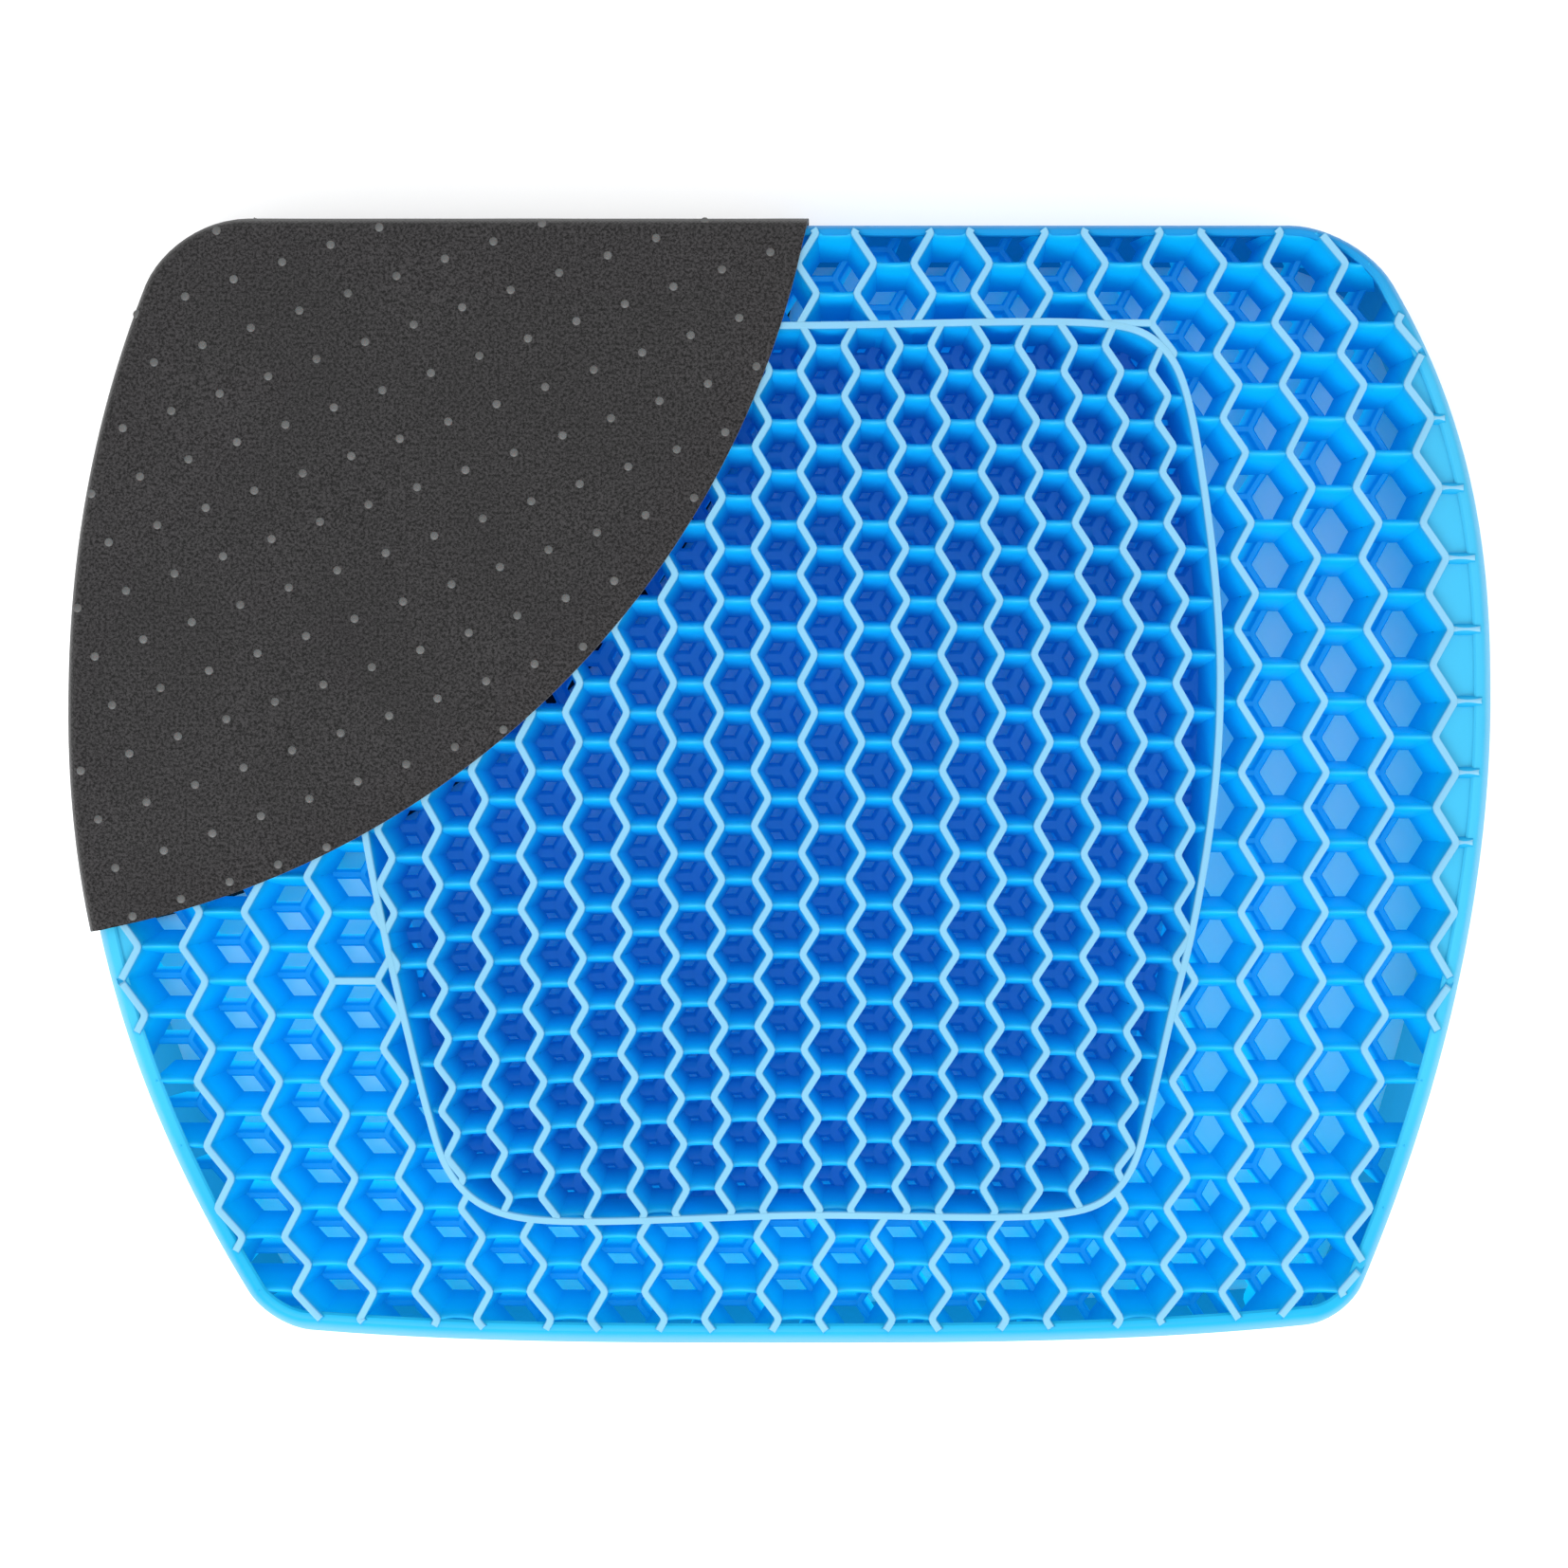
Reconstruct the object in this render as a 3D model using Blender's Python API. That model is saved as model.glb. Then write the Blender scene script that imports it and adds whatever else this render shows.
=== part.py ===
"""Honeycomb gel seat cushion with a cut-back, zipped, grip-dot fabric cover.

Frame: +X to the sitter's right, +Y to the rear edge, +Z up. Everything is drawn in
pad coordinates (millimetres, z = 0 on the seat) and moved at the end so that the
middle of the whole object's footprint is the origin.
"""

import math

import bmesh
import bpy
from mathutils import Matrix, Vector

MM = 0.001
GAP = 0.3  # clearance between pieces that touch

# ---------------------------------------------------------------- gel pad, plan view
REAR_Y = 172.0  # straight rear edge
FRONT_Y = -173.8  # front edge at its middle
FRONT_BOW, FRONT_BOW_SPAN, FRONT_BOW_POWER = 4.1, 146.7, 3.0
RIGHT_X, RIGHT_WIDEST_Y = 220.0, 24.8
LEFT_X, LEFT_WIDEST_Y = -217.6, 20.4
# how far each side draws in (drop) at a distance (span) from its widest point
RIGHT_REAR = (25.5, 120.3, 2.5)
RIGHT_FRONT = (36.7, 173.0, 1.9)
LEFT_REAR = (21.1, 124.7, 2.18)
LEFT_FRONT = (47.2, 168.6, 2.07)
REAR_CORNER = 22.0  # tangent length of the rear corners
FRONT_CORNER = 12.5  # tangent length of the front corners
CENTRE_X = 0.5

# ---------------------------------------------------------------- gel pad, section
PAD_HEIGHT = 40.0
PARTING_Z = 20.0  # the two honeycomb layers meet here, at the widest line
UPPER_PROFILE = ((0.0, 20.15), (1.0, 27.0), (2.0, 33.0), (3.1, 37.4), (3.9, 39.3), (4.6, 40.0))
LOWER_PROFILE = ((8.0, 0.0), (6.6, 1.6), (5.0, 3.4), (3.4, 7.0), (2.6, 12.0), (2.0, 16.0), (0.8, 18.3), (0.0, 19.85))
SIDE_DRAFT = 1.65  # the front and sides lean in this much more than the rear edge
RECESS_DEPTH = 1.7  # room under the pad for the cover's bottom panel

# ---------------------------------------------------------------- cover
FABRIC = 1.4
COVER_OUT = 1.9  # outer face beyond the pad's widest line
CUT_CENTRE = (-258.0, 221.0)  # the cover is cut back along this circle
CUT_RADIUS = 271.0
# outer face and inner face of the section, as (inset, z)
TOP_OUTER = ((1.9, 33.2), (3.1, 38.0), (4.2, 40.4), (5.0, 41.2), (6.2, 41.7))
TOP_INNER = ((3.3, 33.2), (4.4, 37.4), (5.2, 39.3), (5.8, 39.95), (6.8, 40.3))
BAND_UP_OUTER = ((2.0, 15.6), (1.0, 17.4), (0.0, 20.4), (0.9, 27.0), (1.8, 32.9))
BAND_UP_INNER = ((3.4, 15.6), (2.4, 17.9), (1.4, 20.4), (2.3, 27.0), (3.2, 32.9))
BAND_LOW_OUTER = ((2.5, 4.3), (2.0, 5.4), (2.0, 15.3))
BAND_LOW_INNER = ((3.9, 4.3), (3.4, 5.6), (3.4, 15.3))
STRIP_OUTER = ((2.5, 4.3), (2.0, 5.4), (2.0, 6.0))
STRIP_INNER = ((3.9, 4.3), (3.4, 5.6), (3.4, 6.0))
BOTTOM_OUTER = ((2.6, 4.0), (3.3, 2.4), (4.4, 1.0), (6.0, 0.0))
BOTTOM_INNER = ((4.0, 4.0), (4.5, 3.1), (5.3, 2.1), (6.6, 1.4))

# ---------------------------------------------------------------- zip
ZIP_START_X = -156.0  # closed end, just past the rear left corner
ZIP_Z = 10.65
TAPE_THICK = 0.6
TEETH_OUT = 0.7
TEETH_HALF_GAP = 0.5
TEETH_HALF = 1.9  # chain half width
SLIDER_REST_X = -147.0


def front_edge(x):
    return FRONT_Y + FRONT_BOW * (abs(x - CENTRE_X) / FRONT_BOW_SPAN) ** FRONT_BOW_POWER


def right_edge(y):
    drop, span, power = RIGHT_REAR if y > RIGHT_WIDEST_Y else RIGHT_FRONT
    return RIGHT_X - drop * (abs(y - RIGHT_WIDEST_Y) / span) ** power


def left_edge(y):
    drop, span, power = LEFT_REAR if y > LEFT_WIDEST_Y else LEFT_FRONT
    return LEFT_X + drop * (abs(y - LEFT_WIDEST_Y) / span) ** power


def corner(edge):
    """Where a side meets the front edge if neither is rounded."""
    y = FRONT_Y
    for _ in range(20):
        y = front_edge(edge(y))
    return Vector((edge(y), y))


def rounded(before, tip, after, steps=9):
    """A corner arc from before to after that is tangent to both edges through tip."""
    k = 0.56
    a, b = before.lerp(tip, k), after.lerp(tip, k)
    out = []
    for i in range(1, steps):
        t = i / steps
        u = 1 - t
        out.append(before * u**3 + a * 3 * u * u * t + b * 3 * u * t * t + after * t**3)
    return out


def along(points, distance):
    """The points from a given distance onwards, starting exactly there."""
    for i in range(len(points) - 1):
        step = (points[i + 1] - points[i]).length
        if distance <= step:
            return [points[i].lerp(points[i + 1], distance / step)] + points[i + 1 :]
        distance -= step
    return points[-1:]


def trimmed(points, head, tail):
    points = along(points, head)
    return along(points[::-1], tail)[::-1]


def resampled(points, step):
    total = sum((b - a).length for a, b in zip(points, points[1:]))
    n = max(1, round(total / step))
    out = [points[0]]
    for i in range(1, n):
        out.append(along(points, total * i / n)[0])
    return out + [points[-1]]


def outline():
    """The pad's widest line, anticlockwise from the rear edge's right end."""
    rear_left = Vector((left_edge(REAR_Y), REAR_Y))
    rear_right = Vector((right_edge(REAR_Y), REAR_Y))
    front_left, front_right = corner(left_edge), corner(right_edge)

    def side(edge, y0, y1, n=60):
        return [Vector((edge(y0 + (y1 - y0) * i / n), y0 + (y1 - y0) * i / n)) for i in range(n + 1)]

    rear = [rear_right, rear_left]
    left = side(left_edge, REAR_Y, front_left.y)
    right = side(right_edge, front_right.y, REAR_Y)
    n = 60
    front = []
    for i in range(n + 1):
        x = front_left.x + (front_right.x - front_left.x) * i / n
        front.append(Vector((x, front_edge(x))))
    runs = [
        trimmed(rear, REAR_CORNER, REAR_CORNER),
        trimmed(left, REAR_CORNER, FRONT_CORNER),
        trimmed(front, FRONT_CORNER, FRONT_CORNER),
        trimmed(right, FRONT_CORNER, REAR_CORNER),
    ]
    tips = [rear_left, front_left, front_right, rear_right]
    out = []
    for i, run in enumerate(runs):
        out += resampled(run, 14.0)
        out += rounded(run[-1], tips[i], runs[(i + 1) % 4][0])
    return out


def normals(points):
    """Outward unit normals of an anticlockwise closed line."""
    out = []
    for i, _ in enumerate(points):
        d = points[(i + 1) % len(points)] - points[i - 1]
        out.append(Vector((d.y, -d.x)).normalized())
    return out


OUTLINE = outline()
NORMALS = normals(OUTLINE)


def inset_ring(inset, draft):
    out = []
    for p, n in zip(OUTLINE, NORMALS):
        k = 1.0
        if draft:
            k = 1.0 + (SIDE_DRAFT - 1.0) * (1.0 - max(0.0, n.y) ** 2)
        out.append(p - n * inset * k)
    return out


# ---------------------------------------------------------------- mesh helpers
def new_object(name, verts, faces, material, parent=None):
    mesh = bpy.data.meshes.new(name)
    mesh.from_pydata([Vector(v) * MM for v in verts], [], faces)
    bm = bmesh.new()
    bm.from_mesh(mesh)
    bmesh.ops.remove_doubles(bm, verts=bm.verts, dist=1e-7)
    bmesh.ops.recalc_face_normals(bm, faces=bm.faces)
    bmesh.ops.triangulate(bm, faces=[f for f in bm.faces if len(f.verts) > 4])
    bm.to_mesh(mesh)
    bm.free()
    mesh.materials.append(material)
    mesh.shade_smooth()
    mesh.set_sharp_from_angle(angle=math.radians(35))
    obj = bpy.data.objects.new(name, mesh)
    bpy.context.scene.collection.objects.link(obj)
    obj.parent = parent
    return obj


def loft(rings):
    """A closed solid through rings of (x, y) at heights z, capped at both ends."""
    verts, faces = [], []
    n = len(rings[0][0])
    for ring, z in rings:
        verts += [(p.x, p.y, z) for p in ring]
    for k in range(len(rings) - 1):
        for i in range(n):
            j = (i + 1) % n
            faces.append((k * n + i, k * n + j, (k + 1) * n + j, (k + 1) * n + i))
    faces.append(tuple(range(n))[::-1])
    faces.append(tuple((len(rings) - 1) * n + i for i in range(n)))
    return verts, faces


def box(x0, x1, y0, y1, z0, z1):
    verts = [(x, y, z) for x in (x0, x1) for y in (y0, y1) for z in (z0, z1)]
    faces = [(0, 1, 3, 2), (4, 6, 7, 5), (0, 4, 5, 1), (2, 3, 7, 6), (0, 2, 6, 4), (1, 5, 7, 3)]
    return verts, faces


def helper(name, verts, faces):
    """A cutter: hidden in renders and drawn as wire."""
    mesh = bpy.data.meshes.new(name)
    mesh.from_pydata([Vector(v) * MM for v in verts], [], faces)
    bm = bmesh.new()
    bm.from_mesh(mesh)
    bmesh.ops.recalc_face_normals(bm, faces=bm.faces)
    bm.to_mesh(mesh)
    bm.free()
    obj = bpy.data.objects.new(name, mesh)
    bpy.context.scene.collection.objects.link(obj)
    obj.hide_render = True
    obj.display_type = "WIRE"
    return obj


def boolean(obj, other, operation):
    mod = obj.modifiers.new(operation.title() + "_" + other.name, "BOOLEAN")
    mod.operation = operation
    mod.object = other
    mod.solver = "EXACT"


def bevel(obj, width, segments=2):
    mod = obj.modifiers.new("Soft_Edges", "BEVEL")
    mod.width = width * MM
    mod.segments = segments
    mod.limit_method = "ANGLE"
    mod.angle_limit = math.radians(40)


def material(name, colour, roughness, metallic=0.0, transmission=0.0):
    mat = bpy.data.materials.new(name)
    mat.use_nodes = True
    shader = mat.node_tree.nodes["Principled BSDF"]
    shader.inputs["Base Color"].default_value = (*colour, 1.0)
    shader.inputs["Roughness"].default_value = roughness
    shader.inputs["Metallic"].default_value = metallic
    shader.inputs["Transmission Weight"].default_value = transmission
    return mat


# ---------------------------------------------------------------- the cover's path
def cut_distance(p):
    return (p - Vector(CUT_CENTRE)).length - CUT_RADIUS


def cover_path():
    """The cover's outer line from the cut on the left side, round the rear left
    corner, to the cut on the rear edge, with the direction each section leans in."""
    line = [p + n * COVER_OUT for p, n in zip(OUTLINE, NORMALS)]
    count = len(line)
    inside = [cut_distance(p) < 0 for p in line]
    first = next(i for i in range(count) if inside[i] and not inside[i - 1])
    points, leans = [], []

    def crossing(a, b):
        for _ in range(40):
            m = a.lerp(b, 0.5)
            if (cut_distance(m) < 0) == (cut_distance(a) < 0):
                a = m
            else:
                b = m
        return a.lerp(b, 0.5)

    def tangent(p):
        d = (p - Vector(CUT_CENTRE)).normalized()
        return Vector((-d.y, d.x))

    start = crossing(line[first - 1], line[first])
    t = tangent(start)
    n = NORMALS[first]
    points.append(start)
    leans.append(t / t.dot(n))
    i = first
    while inside[i % count]:
        points.append(line[i % count])
        leans.append(NORMALS[i % count])
        i += 1
    end = crossing(line[(i - 1) % count], line[i % count])
    t = tangent(end)
    n = NORMALS[(i - 1) % count]
    points.append(end)
    leans.append(t / t.dot(n))
    # from the left side to the rear edge
    return points[::-1], leans[::-1]


PATH, LEAN = cover_path()


def section_rings(profile, points, leans):
    return [[(p.x - d.x * inset, p.y - d.y * inset, z) for p, d in zip(points, leans)] for inset, z in profile]


def strip(outer, inner, points, leans):
    """A wall of fabric swept along part of the path, closed at both ends."""
    rings = section_rings(outer, points, leans) + section_rings(inner, points, leans)[::-1]
    n, m = len(points), len(rings)
    verts = [v for ring in rings for v in ring]
    faces = []
    for k in range(m):
        k2 = (k + 1) % m
        for i in range(n - 1):
            faces.append((k * n + i, k * n + i + 1, k2 * n + i + 1, k2 * n + i))
    faces.append(tuple(k * n for k in range(m)))
    faces.append(tuple(k * n + n - 1 for k in range(m))[::-1])
    return verts, faces


def cut_arc(a, b, steps=22):
    """Points strictly between a and b on the cut circle."""
    c = Vector(CUT_CENTRE)
    t0 = math.atan2(a[1] - c.y, a[0] - c.x)
    t1 = math.atan2(b[1] - c.y, b[0] - c.x)
    if t1 - t0 > math.pi:
        t1 -= 2 * math.pi
    if t0 - t1 > math.pi:
        t1 += 2 * math.pi
    return [
        (c.x + CUT_RADIUS * math.cos(t0 + (t1 - t0) * i / steps), c.y + CUT_RADIUS * math.sin(t0 + (t1 - t0) * i / steps))
        for i in range(1, steps)
    ]


def panel(outer, inner, points, leans):
    """A fabric panel: flat over the pad, turned down along the path, cut on the arc."""
    out_rings = section_rings(outer, points, leans)
    in_rings = section_rings(inner, points, leans)
    n, m = len(points), len(outer)
    verts = [v for ring in out_rings for v in ring] + [v for ring in in_rings for v in ring]
    base = m * n
    faces = []
    for k in range(m - 1):
        for i in range(n - 1):
            faces.append((k * n + i, k * n + i + 1, (k + 1) * n + i + 1, (k + 1) * n + i))
            faces.append((base + k * n + i + 1, base + k * n + i, base + (k + 1) * n + i, base + (k + 1) * n + i + 1))
    for i in range(n - 1):  # hem between the outer and inner faces
        faces.append((i + 1, i, base + i, base + i + 1))
    arc = cut_arc(out_rings[-1][-1], out_rings[-1][0])
    top = len(verts)
    verts += [(x, y, outer[-1][1]) for x, y in arc]
    low = len(verts)
    verts += [(x, y, inner[-1][1]) for x, y in arc]
    faces.append(tuple((m - 1) * n + i for i in range(n)) + tuple(top + i for i in range(len(arc))))
    faces.append((tuple(base + (m - 1) * n + i for i in range(n)) + tuple(low + i for i in range(len(arc))))[::-1])
    last, first = (m - 1) * n + n - 1, (m - 1) * n
    chain_top = [last] + [top + i for i in range(len(arc))] + [first]
    chain_low = [base + last] + [low + i for i in range(len(arc))] + [base + first]
    for i in range(len(chain_top) - 1):
        faces.append((chain_top[i], chain_low[i], chain_low[i + 1], chain_top[i + 1]))
    faces.append(tuple(k * n for k in range(m)) + tuple(base + k * n for k in range(m))[::-1])
    faces.append((tuple(k * n + n - 1 for k in range(m)) + tuple(base + k * n + n - 1 for k in range(m))[::-1])[::-1])
    return verts, faces


def clear_scene():
    for obj in list(bpy.data.objects):
        bpy.data.objects.remove(obj, do_unlink=True)


def main():
    clear_scene()
    gel_light = material("Gel_Upper", (0.02, 0.33, 0.88), 0.25, transmission=0.35)
    gel_deep = material("Gel_Lower", (0.01, 0.22, 0.75), 0.28, transmission=0.35)
    knit = material("Grip_Knit", (0.048, 0.045, 0.046), 0.95)
    band_cloth = material("Band_Cloth", (0.04, 0.038, 0.039), 0.95)
    tape_cloth = material("Zip_Tape", (0.03, 0.03, 0.031), 0.85)
    nylon = material("Zip_Nylon", (0.025, 0.025, 0.027), 0.4)
    enamel = material("Zip_Enamel", (0.03, 0.03, 0.033), 0.35, metallic=0.6)

    body = {}
    for name in ("Pad", "Cover", "Zip_Slider_Carriage", "Zip_Pull_Pivot"):
        body[name] = bpy.data.objects.new(name + "_Frame", None)
        bpy.context.scene.collection.objects.link(body[name])
    body["Cover"].parent = body["Pad"]
    body["Zip_Slider_Carriage"].parent = body["Cover"]
    body["Zip_Pull_Pivot"].parent = body["Zip_Slider_Carriage"]

    # -- gel pad: two honeycomb layers that meet at the parting line
    rings = [(inset_ring(i, True), z) for i, z in UPPER_PROFILE]
    new_object("gel_upper_layer", *loft(rings), gel_light, body["Pad"])
    rings = [(inset_ring(i, False), z) for i, z in LOWER_PROFILE]
    lower = new_object("gel_lower_layer", *loft(rings), gel_deep, body["Pad"])
    c = Vector(CUT_CENTRE)
    disc = [Vector((c.x + (CUT_RADIUS + 1.0) * math.cos(math.tau * i / 160), c.y + (CUT_RADIUS + 1.0) * math.sin(math.tau * i / 160))) for i in range(160)]
    recess = helper("Recess_Cutter", *loft([(disc, -2.0), (disc, RECESS_DEPTH)]))
    boolean(lower, recess, "DIFFERENCE")

    # -- cover: two panels and a side band, all cut on one circle
    corner_index = next(i for i, p in enumerate(PATH) if p.x > ZIP_START_X)
    new_object("cover_top_panel", *panel(TOP_OUTER, TOP_INNER, PATH, LEAN), knit, body["Cover"])
    new_object("cover_bottom_panel", *panel(BOTTOM_OUTER[:], BOTTOM_INNER[:], PATH, LEAN), knit, body["Cover"])

    def part_of_path(x_from, x_to):
        """The path between two stations along X on the rear edge, or from its start."""
        pts, dirs = [], []
        for i, (p, d) in enumerate(zip(PATH, LEAN)):
            if i < corner_index and x_from is not None:
                continue
            if x_from is not None and p.x <= x_from:
                continue
            if x_to is not None and i >= corner_index - 1 and p.x >= x_to:
                break
            pts.append(p)
            dirs.append(d)
        y_rear = REAR_Y + COVER_OUT
        if x_from is not None:
            pts.insert(0, Vector((x_from, y_rear)))
            dirs.insert(0, Vector((0.0, 1.0)))
        if x_to is not None:
            pts.append(Vector((x_to, y_rear)))
            dirs.append(Vector((0.0, 1.0)))
        return pts, dirs

    seam_x = ZIP_START_X - 4.0
    left = part_of_path(None, seam_x)
    rear = part_of_path(seam_x + GAP, None)
    new_object("cover_band_left_upper", *strip(BAND_UP_OUTER, BAND_UP_INNER, *left), band_cloth, body["Cover"])
    new_object("cover_band_left_lower", *strip(BAND_LOW_OUTER, BAND_LOW_INNER, *left), band_cloth, body["Cover"])
    new_object("cover_band_rear_upper", *strip(BAND_UP_OUTER, BAND_UP_INNER, *rear), band_cloth, body["Cover"])
    new_object("cover_band_rear_lower", *strip(STRIP_OUTER, STRIP_INNER, *rear), band_cloth, body["Cover"])

    # -- zip: two tapes, two rows of teeth, the closed end's stop
    y_face = REAR_Y + COVER_OUT - 2.3  # outer face of the tapes
    x_cut = CUT_CENTRE[0] + math.sqrt(CUT_RADIUS**2 - (y_face - CUT_CENTRE[1]) ** 2)
    x_end = x_cut - 0.2
    z_up, z_dn = 15.3, 6.3
    tape_x0 = seam_x + GAP
    new_object("zip_tape_upper", *box(tape_x0, x_end, y_face - TAPE_THICK, y_face, ZIP_Z + TEETH_HALF + GAP, z_up), tape_cloth, body["Cover"])
    new_object("zip_tape_lower", *box(tape_x0, x_end, y_face - TAPE_THICK, y_face, z_dn, ZIP_Z - TEETH_HALF - GAP), tape_cloth, body["Cover"])
    teeth_x0 = ZIP_START_X + 3.0
    for name, z0, z1 in (
        ("zip_teeth_upper", ZIP_Z + TEETH_HALF_GAP, ZIP_Z + TEETH_HALF),
        ("zip_teeth_lower", ZIP_Z - TEETH_HALF, ZIP_Z - TEETH_HALF_GAP),
    ):
        row = new_object(name, *box(teeth_x0, x_end, y_face - TAPE_THICK, y_face + TEETH_OUT, z0, z1), nylon, body["Cover"])
        bevel(row, 0.3, 1)
    stop = new_object(
        "zip_end_stop",
        *box(ZIP_START_X, ZIP_START_X + 2.4, y_face - TAPE_THICK, y_face + 1.0, ZIP_Z - TEETH_HALF, ZIP_Z + TEETH_HALF),
        enamel,
        body["Cover"],
    )
    bevel(stop, 0.35, 2)

    # -- slider: face plate, post between the rows, back plate, and an arch
    xs = SLIDER_REST_X
    plate_out, plate_in = y_face + TEETH_OUT + GAP, y_face + TEETH_OUT + GAP + 0.8
    half_l, nose, tail = 5.0, 4.0, 3.2

    def plate(y0, y1, grow=0.0):
        pts = []
        for x, w in ((-half_l, tail), (-half_l + 1.4, tail + 0.3), (0.0, tail + 0.4), (half_l - 3.0, nose), (half_l - 0.8, nose - 0.4), (half_l, nose - 1.3)):
            pts.append((x, w - grow))
        ring = [(xs + x, ZIP_Z - w) for x, w in pts] + [(xs + x, ZIP_Z + w) for x, w in reversed(pts)]
        n = len(ring)
        verts = [(x, y0, z) for x, z in ring] + [(x, y1, z) for x, z in ring]
        faces = [(i, (i + 1) % n, n + (i + 1) % n, n + i) for i in range(n)]
        faces += [tuple(range(n))[::-1], tuple(n + i for i in range(n))]
        return verts, faces

    slider = new_object("zip_slider", *plate(plate_out, plate_in), enamel, body["Zip_Slider_Carriage"])
    back = helper("Slider_Back_Plate", *plate(y_face - TAPE_THICK - GAP - 0.6, y_face - TAPE_THICK - GAP, 0.5))
    post = helper("Slider_Post", *box(xs - 1.2, xs + 3.4, y_face - TAPE_THICK - GAP - 0.3, plate_out + 0.4, ZIP_Z - 0.2, ZIP_Z + 0.2))
    arch_y = plate_in + 1.5
    arch_out = arch_y + 0.7
    legs = []
    section = ((-3.9, plate_in - 0.3), (-3.9, arch_out - 0.6), (-3.2, arch_out), (3.2, arch_out), (3.9, arch_out - 0.6), (3.9, plate_in - 0.3), (3.0, plate_in - 0.3), (3.0, arch_y), (-3.0, arch_y), (-3.0, plate_in - 0.3))
    n = len(section)
    legs = [(xs + x, y, ZIP_Z - 0.9) for x, y in section] + [(xs + x, y, ZIP_Z + 0.9) for x, y in section]
    arch = helper("Slider_Arch", legs, [(i, (i + 1) % n, n + (i + 1) % n, n + i) for i in range(n)] + [tuple(range(n))[::-1], tuple(n + i for i in range(n))])
    for piece in (back, post, arch):
        boolean(slider, piece, "UNION")

    # -- pull: an eye that turns on its crossbar under the arch, and a long tab
    y_pin = plate_in + 0.75
    pin_r = 0.4
    tab = ((-0.45, 1.75), (7.0, 1.75), (9.5, 2.6), (21.0, 3.1), (24.0, 2.9), (25.6, 1.6))
    ring = [(xs + x, ZIP_Z - w) for x, w in tab] + [(xs + x, ZIP_Z + w) for x, w in reversed(tab)]
    hole = [(pin_r, 1.15), (6.2, 1.15)]
    hole_ring = [(xs + x, ZIP_Z - w) for x, w in hole] + [(xs + x, ZIP_Z + w) for x, w in reversed(hole)]
    n, m = len(ring), len(hole_ring)
    verts, faces = [], []
    for y in (y_pin - pin_r, y_pin + pin_r):
        verts += [(x, y, z) for x, z in ring]
    faces = [(i, (i + 1) % n, n + (i + 1) % n, n + i) for i in range(n)]
    faces += [tuple(range(n))[::-1], tuple(n + i for i in range(n))]
    pull = new_object("zip_pull", verts, faces, enamel, body["Zip_Pull_Pivot"])
    eye = []
    for y in (y_pin - 2.0, y_pin + 2.0):
        eye += [(x, y, z) for x, z in hole_ring]
    eye_faces = [(i, (i + 1) % m, m + (i + 1) % m, m + i) for i in range(m)] + [tuple(range(m))[::-1], tuple(m + i for i in range(m))]
    boolean(pull, helper("Pull_Eye", eye, eye_faces), "DIFFERENCE")

    # -- put the middle of the footprint on the origin
    bpy.context.view_layer.update()
    graph = bpy.context.evaluated_depsgraph_get()
    low, high = Vector((1e9,) * 3), Vector((-1e9,) * 3)
    for obj in bpy.context.scene.objects:
        if obj.type != "MESH" or obj.hide_render:
            continue
        ev = obj.evaluated_get(graph)
        for v in ev.data.vertices:
            w = ev.matrix_world @ v.co
            low = Vector(map(min, low, w))
            high = Vector(map(max, high, w))
    shift = Vector((-(low.x + high.x) / 2, -(low.y + high.y) / 2, -low.z))
    moved = Matrix.Translation(shift)
    for obj in bpy.context.scene.objects:
        if obj.type == "MESH":
            obj.data.transform(moved)
    # joint frames, with each moving piece's own origin on its axis
    pivots = {
        "Zip_Slider_Carriage": shift + Vector((xs, y_face, ZIP_Z)) * MM,
        "Zip_Pull_Pivot": shift + Vector((xs, y_pin, ZIP_Z)) * MM,
    }
    body["Zip_Slider_Carriage"].location = pivots["Zip_Slider_Carriage"]
    body["Zip_Pull_Pivot"].location = pivots["Zip_Pull_Pivot"] - pivots["Zip_Slider_Carriage"]
    for obj in bpy.context.scene.objects:
        if obj.type == "MESH" and obj.parent and obj.parent.name.startswith("Zip_"):
            key = obj.parent.name.replace("_Frame", "")
            obj.data.transform(Matrix.Translation(-pivots[key]))
    for obj in bpy.context.scene.objects:
        if obj.type == "MESH" and obj.hide_render and obj.name.startswith("Slider_"):
            obj.parent = body["Zip_Slider_Carriage"]
            obj.data.transform(Matrix.Translation(-pivots["Zip_Slider_Carriage"]))
        if obj.type == "MESH" and obj.hide_render and obj.name.startswith("Pull_"):
            obj.parent = body["Zip_Pull_Pivot"]
            obj.data.transform(Matrix.Translation(-pivots["Zip_Pull_Pivot"]))
    print("footprint middle moved by", [round(v * 1000, 3) for v in shift], "mm; pull pivot at", [round(v, 6) for v in pivots["Zip_Pull_Pivot"]])


main()
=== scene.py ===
"""Looks for the honeycomb gel seat cushion: a moulded two-layer gel lattice, a cut-back
zipped fabric cover with grip dots, and its zip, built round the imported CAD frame.

Plan positions are worked out in pad coordinates, in millimetres, and moved into the frame
by SHIFT, which is read off the CAD box of the upper gel layer.
"""

import math

import bmesh
import bpy
import numpy as np
from mathutils import Matrix, Vector, noise
from mathutils.geometry import delaunay_2d_cdt


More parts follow.
